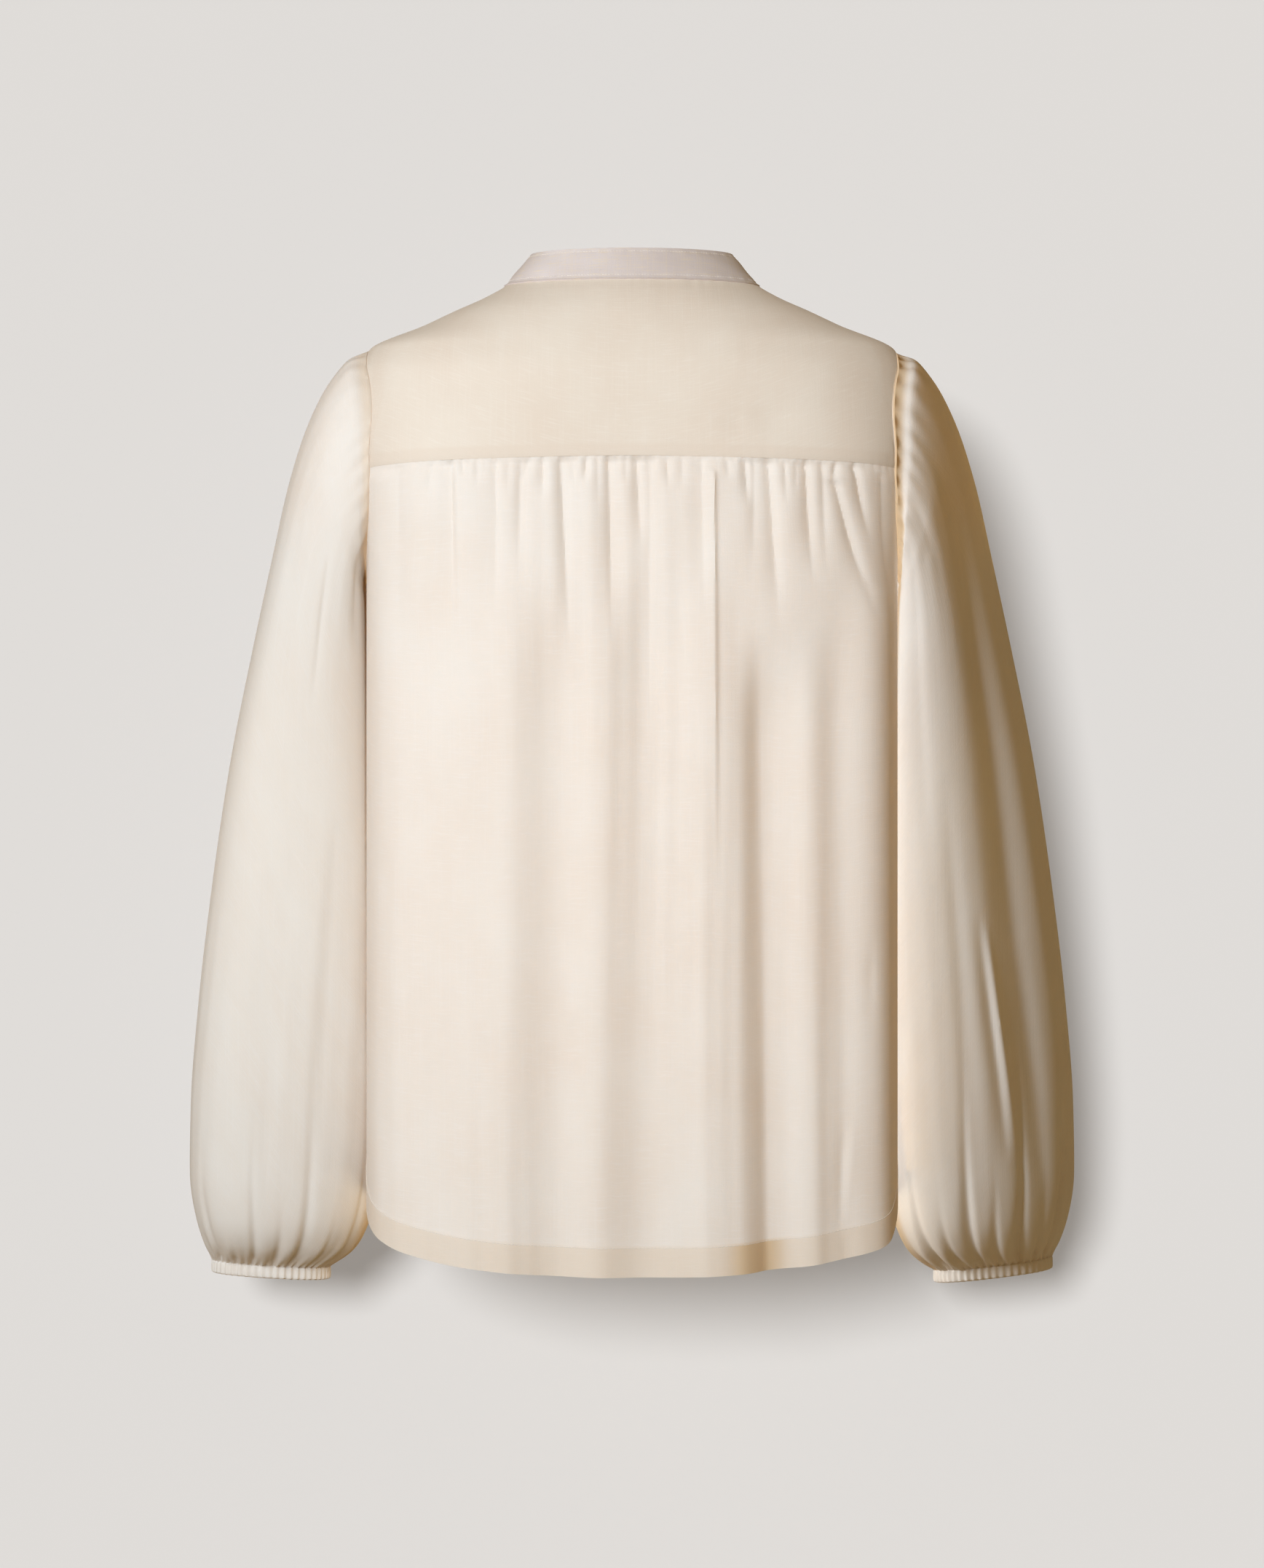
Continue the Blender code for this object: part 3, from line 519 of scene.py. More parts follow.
# The collar's seam puckers the yoke most round this place across.
NECK_PUCKER_X = -42.0
NECK_PUCKER_HALF_WIDTH = 26.0
SEAM_PUCKER_SHARE = 0.35
SEAM_PUCKER_LENGTH = 140.0
RIGHT_FRONT_SHIFT = 2.5
FRONT_GATHERS_FROM = 76.0
FRONT_GATHERS_FADE = 8.0
BAND_FADE_FROM = BAND_HALF_WIDTH + 2.0
BAND_FADE = 14.0
Dip = namedtuple("Dip", "x z half_width half_height depth")
YOKE_DIPS = table(
    Dip,
    (118, -84, 26, 14, 1.4),
    (96, -48, 30, 10, 0.8),
    (-96, -108, 20, 12, 1.6),
    (-70, -112, 8, 9, 0.7),
    (-128, -78, 24, 20, -0.9),
    (-30, -30, 20, 12, 0.7),
    (20, -38, 30, 16, 0.6),
)


def seam_sag(turn):
    """Return how far the yoke seam hangs below its middle, towards its two corners."""
    return -SEAM_SAG * np.clip(np.abs(turn / YOKE_CORNER), 0.0, 1.0) ** SEAM_SAG_POWER


def seam_shares(count):
    """Return the yoke seam's shares from the left corner to the right, at equal distances."""
    fine = np.linspace(1.0, -1.0, 801)
    along = distances(body(YOKE_CORNER * fine, YOKE_SEAM))
    places = np.interp(np.linspace(0.0, along[-1], count), along, np.linspace(0.0, 1.0, len(fine)))
    return 1.0 - 2.0 * places


def hem_marks(heights, hem):
    """Return 1 where the hem is turned up and the cloth lies double, else 0."""
    return eased((HEM_TURN_UP + 0.6 - (heights - hem)) / 1.2)


def back_panel_grid():
    """Return the back panel's turns and heights, and its hem's heights."""
    edge_height = np.append(YOKE_SEAM + spaced(*BACK_ROWS), HEM_SIDE)
    edge_turn = armhole_side(edge_height, back=True)
    corner = edge_turn[0]
    across = seam_shares(BACK_COLUMNS + 1)
    spread = np.sign(across) * np.abs(across) ** 4.0
    turns = corner * across[None, :] + (edge_turn - corner)[:, None] * spread[None, :]
    share = (edge_height - edge_height[0]) / (edge_height[-1] - edge_height[0])
    hem = hem_height(turns[-1], HEM_BACK)
    heights = YOKE_SEAM + (hem[None, :] - YOKE_SEAM) * share[:, None]
    heights = heights + (edge_height - heights[:, 0])[:, None] * np.abs(spread[None, :])
    return turns, heights, hem


def back_panel_surface(fold_scale):
    """Return the back panel's outer points, their outward directions and its doubled cloth, with painted
    shade on the hem below the deep fold.
    """
    turns, heights, hem = back_panel_grid()
    turns = np.concatenate([turns[:1], turns], axis=0)
    heights = np.concatenate([heights[:1] + TUCK, heights], axis=0)
    below = YOKE_SEAM - heights
    under = np.clip(below, 0.0, None)
    heights = heights + seam_sag(turns) * np.exp(-under / SEAM_SAG_FALL)
    points = body(turns, heights)
    normals = body_normal(turns, heights)
    x = points[..., 0]
    puff = eased(below / SEAM_PUFF_RISE) * np.exp(-under / SEAM_PUFF_FALL)
    relief = SEAM_PUFF * puff + seam_puckers(x, below) + soft_streaks(x, below)
    for fold in BACK_GATHERS:
        relief = relief - GATHER_DEPTH * fold_depth(x, below, fold, GATHER_RISE, GATHER_POWER)
    for fold in BACK_CREASES:
        relief = relief - fold_depth(x, below, fold, CREASE_RISE, CREASE_POWER)
    for fold in BACK_DRAPE:
        relief = relief - drape_depth(x, below, fold)
    relief = relief * fold_scale * side_fade(x)
    relief = np.where(below < 1.0, np.minimum(relief, 0.1), relief)
    relief[0] = -TUCK_DEPTH
    marks = hem_marks(heights, hem[None, :])
    relief = relief + HEM_LIFT * marks
    # The hem's doubled colour is deepened here as painted shade, standing for the shadow at the foot of the
    # deep fold.
    hem_painted_shade = 0.6 + 1.4 * np.exp(-(((x - HEM_PAINTED_SHADE_X) / HEM_PAINTED_SHADE_HALF_WIDTH) ** 4))
    return points + relief[..., None] * normals, normals, marks * hem_painted_shade


class BLOUSE_OT_back_panel(bpy.types.Operator):
    """Lay the gathered back panel on the body form, from the yoke seam to the curved hem"""

    bl_idname = "blouse.back_panel"
    bl_label = "Back panel"

    def execute(self, context):
        cloth = context.scene.blouse_cloth
        points, normals, marks = back_panel_surface(cloth.fold_depth)
        panel = make_sheet("Back_panel", points, normals, cloth.thickness, woven("voile"), marks)
        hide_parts("back_panel")
        return {"FINISHED"}


def yoke_columns():
    """Return the yoke's columns as a neck turn, an outer turn and an outer height."""
    steps = np.linspace(0.0, YOKE_FRONT_POINT + YOKE_BACK_POINT, YOKE_SIDE_COLUMNS + 1)
    forward = 90.0 + (YOKE_NECK_TURN_FRONT - 90.0) * (1.0 - steps / YOKE_FRONT_POINT)
    back = 90.0 + (YOKE_NECK_TURN_BACK - 90.0) * (steps - YOKE_FRONT_POINT) / YOKE_BACK_POINT
    neck_turn = np.where(steps <= YOKE_FRONT_POINT, forward, back)
    turn, height = armhole(ARMHOLE_POINTS - YOKE_FRONT_POINT + steps)
    across = seam_shares(BACK_COLUMNS // 2 + 1)[1:-1]
    neck_turn = np.concatenate([neck_turn, YOKE_NECK_TURN_BACK * across, -neck_turn[::-1]])
    outer_turn = np.concatenate([turn, turn[-1] * across, -turn[::-1]])
    outer_height = np.concatenate([height, np.full(len(across), YOKE_SEAM), height[::-1]])
    return neck_turn, outer_turn, outer_height


def yoke_relief(points, shares, seam):
    """Return the yoke's soft dips, and the puckers its collar and panel seams draw in it."""
    x, y, z = points[..., 0], points[..., 1], points[..., 2]
    relief = np.zeros(x.shape)
    for dip in YOKE_DIPS:
        far = ((x - dip.x) / dip.half_width) ** 2 + ((z - dip.z) / dip.half_height) ** 2
        relief = relief - dip.depth * np.exp(-far) * (y > 0.0)
    from_neck = shares * YOKE_LENGTH
    pucker = np.sin(x / 1.9 + 3.1 * np.sin(x / 8.3) + 2.0 * np.sin(x / 21.0))
    patch = 0.15 + np.exp(-((x - NECK_PUCKER_X) / NECK_PUCKER_HALF_WIDTH) ** 2)
    fall = np.exp(-from_neck / NECK_PUCKER_FALL)
    relief = relief + NECK_PUCKER_DEPTH * patch * pucker * fall * (y > 0.0)
    from_seam = (1.0 - shares) * SEAM_PUCKER_LENGTH
    return relief + SEAM_PUCKER_SHARE * seam * seam_puckers(x, from_seam)


def yoke_surface():
    """Return the yoke's outer points, their outward directions and its doubled cloth."""
    neck_turn, outer_turn, outer_height = yoke_columns()
    turn, height = neck(np.abs(neck_turn))
    turn = np.copysign(turn, neck_turn)
    shares = np.append(np.linspace(0.0, 0.975, YOKE_ROWS), YOKE_LAST_SHARES)[:, None]
    turns = turn + (outer_turn - turn) * shares
    heights = height + (outer_height - height) * shares
    seam = (np.abs(outer_height - YOKE_SEAM) < 0.01)[None, :]
    heights = heights + seam_sag(turns) * shares ** 3 * seam * (np.abs(turns) < 90.0)
    points = body(turns, heights)
    normals = body_normal(turns, heights)
    relief = YOKE_LIFT * eased((shares - 0.8) / 0.15) * seam + yoke_relief(points, shares, seam)
    relief = relief - YOKE_EDGE_ROLL * eased((shares - 0.985) / 0.015) * seam
    marks = eased((shares - YOKE_TURN_UNDER) / 0.01) * seam
    return points + relief[..., None] * normals, normals, marks


class BLOUSE_OT_yoke(bpy.types.Operator):
    """Lay the plain back yoke over both shoulders, with its lower edges turned under"""

    bl_idname = "blouse.yoke"
    bl_label = "Yoke"

    def execute(self, context):
        cloth = context.scene.blouse_cloth
        points, normals, marks = yoke_surface()
        yoke = make_sheet("Yoke", points, normals, cloth.thickness, woven("yoke"), marks)
        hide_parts("yoke")
        return {"FINISHED"}


def front_grid():
    """Return the left front's turns, heights, distances below its upper edge, and its hem."""
    top = float(armhole(ARMHOLE_POINTS - YOKE_FRONT_POINT)[1])
    edge_height = np.append(spaced(top, (HEM_SIDE + 2.0, FRONT_ROW_STEP)), HEM_SIDE)
    edge_turn = armhole_side(edge_height, back=False)
    seam = FRONT_COLUMNS // 2
    shares = np.linspace(0.0, 1.0, seam + 1)
    neck_start = neck(YOKE_NECK_TURN_FRONT)
    last = 90.0 + math.degrees(math.acos(BAND_HALF_WIDTH / NECK_HALF_WIDTH))
    neckline = neck(np.linspace(YOKE_NECK_TURN_FRONT, last, FRONT_COLUMNS - seam + 1)[1:])
    top_turn = np.concatenate([edge_turn[0] + (neck_start[0] - edge_turn[0]) * shares, neckline[0]])
    top_height = edge_height[0] + (neck_start[1] - edge_height[0]) * shares
    top_height = np.concatenate([top_height, neckline[1]])
    top_place = (top_turn - top_turn[0]) / (top_turn[-1] - top_turn[0])
    hem_place = np.linspace(0.0, 1.0, len(top_turn))
    share = ((edge_height - edge_height[0]) / (edge_height[-1] - edge_height[0]))[:, None]
    centre_height = top_height[-1] + (HEM_FRONT - top_height[-1]) * share
    centre_turn = 180.0 - turn_at_width(BAND_HALF_WIDTH, centre_height)
    place = top_place + (hem_place - top_place) * np.sqrt(share)
    turns = edge_turn[:, None] + (centre_turn - edge_turn[:, None]) * place
    hem = hem_height(turns, HEM_FRONT)
    heights = top_height + (hem - top_height) * share
    heights = heights + (edge_height[:, None] - heights[:, :1]) * (1.0 - hem_place) ** 2
    return turns, heights, top_height - heights, hem[-1]


def front_surface(side, fold_scale):
    """Return a front's outer points, their outward directions and its doubled cloth."""
    turns, heights, below, hem = front_grid()
    points = body(turns, heights)
    normals = body_normal(turns, heights)
    across = points[..., 0] + (RIGHT_FRONT_SHIFT if side < 0 else 0.0)
    under_yoke = eased((across - FRONT_GATHERS_FROM) / FRONT_GATHERS_FADE)
    relief = under_yoke * seam_puckers(across, below) + soft_streaks(across, below)
    for fold in FRONT_GATHERS:
        gather = fold_depth(across, below, fold, FRONT_GATHER_RISE, FRONT_GATHER_POWER)
        relief = relief - gather * under_yoke
    for fold in FRONT_DRAPE:
        relief = relief - drape_depth(across, below, fold)
    off_band = eased((points[..., 0] - BAND_FADE_FROM) / BAND_FADE)
    relief = relief * side_fade(points[..., 0]) * off_band * fold_scale
    relief = np.where(below < 0.5, np.minimum(relief, 0.0), relief)
    marks = hem_marks(heights, hem[None, :])
    points = points + (relief + HEM_LIFT * marks)[..., None] * normals
    return *mirrored(side, points, normals), marks


class BLOUSE_OT_fronts(bpy.types.Operator):
    """Lay both fronts on the body form, gathered a little under the yoke"""

    bl_idname = "blouse.fronts"
    bl_label = "Fronts"

    def execute(self, context):
        cloth = context.scene.blouse_cloth
        for name, side in SIDES:
            points, normals, marks = front_surface(side, cloth.fold_depth)
            front = make_sheet(f"{name}_front", points, normals, cloth.thickness, woven("voile"), marks)
            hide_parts(f"{name.lower()}_front")
        return {"FINISHED"}


# ---------------------------------------------------------------- collar and front bands

COLLAR_HEIGHT = 21.0
COLLAR_FOOT = 1.1
COLLAR_LEAN = (0.20, 0.12, 0.0)
COLLAR_CORNER = 13.0
COLLAR_CORNER_DROP = 0.8
COLLAR_END = 1.6
COLLAR_STAND_OUT = 0.7
COLLAR_LIFT = 0.3
COLLAR_COLUMNS = 340
COLLAR_RISES = spaced(0.0, (2.4, 0.6), (17.6, 1.3), (21.0, 0.55)) / 21.0
COLLAR_STITCH_RISES = (1.6, 18.6)
COLLAR_STITCH_DENT = 0.22
COLLAR_CREASE = 0.22
COLLAR_WAVE = 0.45
BAND_COLUMNS = 15
BAND_ROWS = 221
BAND_STITCH_INSET = 2.0
BAND_STITCH_DENT = 0.10
BAND_EDGE_ROLL = 0.25
BAND_WAVE = 0.3


def collar_relief(along, rise):
    """Return the collar's small waves: dents along its stitches and long soft creases."""
    dents = np.zeros(np.broadcast(along, rise).shape)
    for stitched in COLLAR_STITCH_RISES:
        near = np.exp(-((rise - stitched) / 1.1) ** 2)
        uneven = 1.0 + 0.7 * np.sin(along / 1.9 + 2.0 * np.sin(along / 13.0))
        dents = dents - COLLAR_STITCH_DENT * near * uneven
    creases = np.sin(rise / 2.3 + 1.7 * np.sin(along / 27.0)) * np.sin(along / 11.0 + 0.4)
    swell = np.sin(np.pi * np.clip(rise / COLLAR_HEIGHT, 0.0, 1.0))
    wave = COLLAR_WAVE * np.sin(along / 24.0 + 1.0) * swell
    return dents + COLLAR_CREASE * creases * eased(rise / 3.0) + wave


def collar_surface():
    """Return the collar's outer points and their outward directions, from its left end."""
    last = 90.0 + math.degrees(math.acos(COLLAR_END / NECK_HALF_WIDTH))
    own = np.linspace(last, -last, COLLAR_COLUMNS + 1)
    turn, height = neck(np.abs(own))
    turn = np.copysign(turn, own)
    seam = body(turn, height)
    out = body_normal(turn, height)
    level = unit(out * (1.0, 1.0, 0.0))
    along = distances(seam)
    from_end = np.minimum(along, along[-1] - along)
    rounding = np.clip(1.0 - from_end / COLLAR_CORNER, 0.0, 1.0)
    drop = COLLAR_CORNER * COLLAR_CORNER_DROP * (1.0 - np.sqrt(1.0 - rounding ** 2))
    rows = [body(turn, height - COLLAR_FOOT) + (COLLAR_STAND_OUT + 0.2) * out]
    for share in COLLAR_RISES:
        rise = (COLLAR_HEIGHT - drop) * share
        row = seam * (1.0 - np.multiply.outer(rise / COLLAR_HEIGHT, COLLAR_LEAN))
        row[:, 2] += rise + COLLAR_LIFT
        rows.append(row + COLLAR_STAND_OUT * level)
    points = np.array(rows)
    outward = np.broadcast_to(level, points.shape)
    rise = np.concatenate([[-0.05], COLLAR_RISES])[:, None] * COLLAR_HEIGHT
    return points + collar_relief(along[None, :], rise)[..., None] * outward, outward


class BLOUSE_OT_collar(bpy.types.Operator):
    """Stand the doubled mandarin collar on the neck seam, with rounded front ends"""

    bl_idname = "blouse.collar"
    bl_label = "Mandarin collar"

    def execute(self, context):
        cloth = context.scene.blouse_cloth
        points, outward = collar_surface()
        collar = make_sheet("Collar", points, outward, cloth.collar_thickness, woven("collar"))
        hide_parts("collar")
        return {"FINISHED"}


def band_surface(from_x, to_x, lift):
    """Return a front band's outer points and directions, on the fronts' own form."""
    columns = np.linspace(from_x, to_x, BAND_COLUMNS)
    seam_turn = 90.0 + np.degrees(np.arccos(np.abs(columns) / NECK_HALF_WIDTH))
    top = neck(seam_turn)[1] - 0.2
    share = np.linspace(0.0, 1.0, BAND_ROWS)[:, None]
    heights = top + (HEM_FRONT - top) * share
    turns = np.copysign(180.0 - turn_at_width(columns, heights), columns)
    normals = body_normal(turns, heights)
    edge = np.minimum(np.abs(columns - from_x), np.abs(columns - to_x))
    ripple = np.exp(-((edge - BAND_STITCH_INSET) / 1.0) ** 2) * (1.0 + np.sin(heights / 2.6))
    relief = lift - BAND_STITCH_DENT * ripple - BAND_EDGE_ROLL * np.exp(-edge / 0.5)
    relief = relief + BAND_WAVE * np.sin(heights / 37.0)
    return body(turns, heights) + relief[..., None] * normals, normals


def upper_band_surface():
    """Return the buttonhole band's surface, lapped over the under band."""
    return band_surface(BAND_HALF_WIDTH, -(BAND_HALF_WIDTH + BAND_LAP), BAND_LIFT)


class BLOUSE_OT_bands(bpy.types.Operator):
    """Lay the under band and the lapped buttonhole band down the centre front"""

    bl_idname = "blouse.bands"
    bl_label = "Front bands"

    def execute(self, context):
        cloth = context.scene.blouse_cloth
        under = band_surface(BAND_HALF_WIDTH - 0.1, -(BAND_HALF_WIDTH - 1.0), 0.0)
        for name, node, surface in (
            ("Under_band", "left_button_band", under),
            ("Buttonhole_band", "right_button_band", upper_band_surface()),
        ):
            band = make_sheet(name, *surface, cloth.band_thickness, woven("voile"))
            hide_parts(node)
        return {"FINISHED"}


# ---------------------------------------------------------------- sleeves and cuffs

SLEEVE_COLUMNS = 280
SLEEVE_CLEARANCE = 0.6
SLEEVE_SEAM_GAP = 0.5
SLEEVE_TUCK = 1.6
SLEEVE_TUCK_DEPTH = 1.5
CUFF_TUCK = 1.6
CUFF_TUCK_DEPTH = 2.0
# Width of the painted band beside the armhole: doubled seam allowance, and painted shade on the right
# sleeve.
ARMHOLE_ALLOWANCE_AND_SHADE = 2.6
# Where and how wide the underarm seam is painted doubled; it is widened and full as painted golden shade in
# the gap beside the body.
UNDERARM_TURN = 172.0
UNDERARM_SEAM_AND_SHADE = 16.0
BODY_REACH = 12.0
CAP_START = 133.0
CAP_TURN = 75.0
CAP_HALF_TURN = 60.0
CAP_PUCKER_FALL = 6.0
GROOVE_BELOW_SEAM = 1.6
GROOVE_HALF_WIDTH = 2.8
RIPPLE_DEPTH = 0.12
CUFF_GATHER_DEPTH = 0.85
CUFF_GATHER_FALL = 9.0
FINE_FOLD_DEPTH = 0.7
FINE_FOLD_ABOVE_CUFF = 22.0
FINE_FOLD_HALF_HEIGHT = 18.0
CUFF_GATHERS = 52
CUFF_ROWS = 13
CUFF_HEIGHT = 9.0
CUFF_MIDDLE = 260.0
CUFF_HALF_WIDTH = 42.0
CUFF_TILT_REACH = 70.0
CUFF_BULGE = 0.55
CUFF_EDGE_ROLL = 0.9
PLEAT_DEPTH = 0.55
PLEAT_DEPTH_AT_EDGES = 0.25
LEFT_SLEEVE_FOLDS = table(
    Fold,
    (97, 95, 190, 300, 1.1, 3, 0.3), (140, 132, 90, 260, 1.6, 9, 0.2), (60, 66, 150, 420, 1.5, 12, 0),
    (118, 112, 380, 640, 1.8, 9, 0.3), (150, 158, 500, 560, 2.4, 5, -0.3), (75, 84, 420, 690, 1.4, 8, 0),
    (230, 222, 160, 420, 3, 12, 0.2), (285, 270, 240, 640, 3.4, 13, 0.2),
    (325, 318, 320, 650, 2.4, 11, -0.2),
)
RIGHT_SLEEVE_FOLDS = table(
    Fold,
    (66, 60, 120, 700, 9.5, 17, 0), (82, 70, 455, 620, -2.2, 2.6, 0.2), (87, 76, 450, 625, 1.8, 3.4, 0.3),
    (104, 96, 350, 640, 1.5, 7, 0), (128, 118, 150, 420, 1.6, 8, 0.2),
    (152, 160, 560, 625, 2.4, 4.5, 0.2), (140, 146, 520, 690, 1.8, 7, 0.3), (60, 48, 480, 690, 1.8, 7, 0),
    (112, 100, 90, 190, 1.4, 6, 0.2), (225, 232, 180, 430, 3, 12, 0.2),
    (280, 268, 250, 650, 3.4, 13, 0.2), (322, 312, 330, 650, 2.4, 11, -0.2),
)
# The cuff draws the sleeve into folds that run up from it: where, how far up, how deep, how wide.
CuffFold = namedtuple("CuffFold", "turn reach depth half_width")
LEFT_CUFF_FOLDS = table(
    CuffFold,
    (14, 34, 2.4, 4), (38, 60, 3, 4.5), (57, 30, 2.2, 3.5), (74, 78, 3.2, 4), (92, 40, 2.6, 3.5),
    (108, 90, 3.4, 4.5), (127, 36, 2.4, 3.5), (146, 64, 3, 4.5), (166, 30, 2.2, 4), (190, 70, 3.2, 5),
    (215, 44, 2.8, 4), (240, 84, 3.4, 5), (266, 38, 2.4, 4), (292, 72, 3.2, 5), (318, 42, 2.6, 4),
    (341, 66, 3, 4.5),
)
RIGHT_CUFF_FOLDS = table(
    CuffFold,
    (18, 52, 3.2, 4.5), (36, 96, 4.4, 4.5), (50, 44, 3.4, 3.5), (66, 100, 4.2, 4.5), (84, 50, 3.4, 3.5),
    (101, 110, 4.2, 5), (118, 40, 3.2, 3.5), (136, 70, 4.4, 5.5), (158, 34, 3, 4.5), (186, 66, 3.2, 5),
    (212, 40, 2.8, 4), (238, 80, 3.4, 5), (262, 44, 2.6, 4), (290, 74, 3.2, 5), (314, 40, 2.6, 4),
    (338, 62, 3, 4.5),
)
# What differs between the sleeves. allowance is how plainly the doubled cloth shows
# beside the armhole; on the right sleeve it is raised further, as painted shade in the armhole's
# groove. The tilt is how far the cuff's outer end stands above its middle.
Sleeve = namedtuple("Sleeve", "folds cuff_folds allowance pucker groove tilt")
SLEEVES = {
    1: Sleeve(LEFT_SLEEVE_FOLDS, LEFT_CUFF_FOLDS, allowance=0.8, pucker=0.5, groove=0.4, tilt=0.0),
    -1: Sleeve(RIGHT_SLEEVE_FOLDS, RIGHT_CUFF_FOLDS, allowance=2.0, pucker=1.1, groove=3.0, tilt=2.5),
}


def sleeve_ring(number, angles):
    """Return the sleeve's points at a place between two sections, from its outer side round."""
    squareness = np.where(number < 0.999, 2.0 + (SLEEVE_SQUARENESS - 2.0) * number, SLEEVE_SQUARENESS)
    sideways, along = rounded(angles, squareness)
    outer_x, inner_x = SLEEVE_FORM.outer_x(number), SLEEVE_FORM.inner_x(number)
    outer_z, inner_z = SLEEVE_FORM.outer_z(number), SLEEVE_FORM.inner_z(number)
    x = 0.5 * (outer_x + inner_x) + along * 0.5 * (outer_x - inner_x)
    y = SLEEVE_FORM.middle_y(number) + sideways * SLEEVE_FORM.half_depth(number)
    z = 0.5 * (outer_z + inner_z) + along * 0.5 * (outer_z - inner_z)
    return np.stack(np.broadcast_arrays(x, y, z), axis=-1)


def sleeve_numbers():
    """Return the places of the sleeve's rows, close together at the shoulder and the cuff."""
    fine = np.linspace(0.0, len(SLEEVE_SECTIONS) - 1.0, 600)
    along = distances(sleeve_ring(fine, np.array(90.0)))
    total = along[-1]
    wanted = spaced(0.0, (16.0, 1.6), (60.0, 3.2), (total - 100.0, 4.6), (total - 30.0, 2.4), (total, 1.3))
    return np.interp(wanted, along, fine), total - wanted


def turn_gap(turns, middle):
    """Return how far a turn is from a fold's middle, the short way round."""
    return (turns - middle + 180.0) % 360.0 - 180.0


def cuff_tilt(side, x):
    """Return how far a cuff is raised at a distance across."""
    return SLEEVES[side].tilt * (x - CUFF_MIDDLE) / CUFF_HALF_WIDTH


def sleeve_relief(side, turns, drop, to_cuff):
    """Return how far a sleeve stands out of its form: long folds, cuff folds and gathers."""
    sleeve = SLEEVES[side]
    relief = np.zeros(np.broadcast(turns, drop).shape)
    for fold in sleeve.folds:
        share, middle = fold_course(fold, drop)
        along = np.sin(np.pi * share) ** 0.8
        across = crossing(turn_gap(turns, middle), fold.half_width, fold.lean)
        relief = relief - fold.depth * along * across
    for fold in sleeve.cuff_folds:
        along = np.exp(-(to_cuff / fold.reach) ** 2) * eased(0.25 + to_cuff / 14.0)
        spread = fold.half_width * (1.0 - 0.45 * eased(to_cuff / 90.0))
        relief = relief - fold.depth * along * crossing(turn_gap(turns, fold.turn), spread, 0.2)
    angle = np.radians(turns)
    gathers = np.cos(angle * CUFF_GATHERS + 0.8 * np.sin(angle * 3.0))
    relief = relief + CUFF_GATHER_DEPTH * gathers * np.exp(-to_cuff / CUFF_GATHER_FALL)
    finer = np.sin(angle * 19.0 + 2.0 * np.sin(angle * 2.0))
    near = np.exp(-((to_cuff - FINE_FOLD_ABOVE_CUFF) / FINE_FOLD_HALF_HEIGHT) ** 2)
    relief = relief + FINE_FOLD_DEPTH * finer * near
    from_seam = np.clip(drop - CAP_START, 0.0, None)
    cap = np.sin(angle * 31.0 + 1.5 * np.sin(angle * 4.0))
    cap_size = np.where(np.abs(turn_gap(turns, CAP_TURN)) < CAP_HALF_TURN, 1.0, 0.5)
    puckers = sleeve.pucker * cap * cap_size * np.exp(-from_seam / CAP_PUCKER_FALL)
    relief = relief + puckers * eased(from_seam / 1.5)
    near = np.exp(-((from_seam - GROOVE_BELOW_SEAM) / GROOVE_HALF_WIDTH) ** 2)
    relief = relief - sleeve.groove * cap_size * near
    ripple = np.sin(angle * 27.0 + drop / 60.0) * (0.5 + 0.5 * np.sin(drop / 70.0))
    return relief + RIPPLE_DEPTH * ripple * eased(from_seam / 60.0)


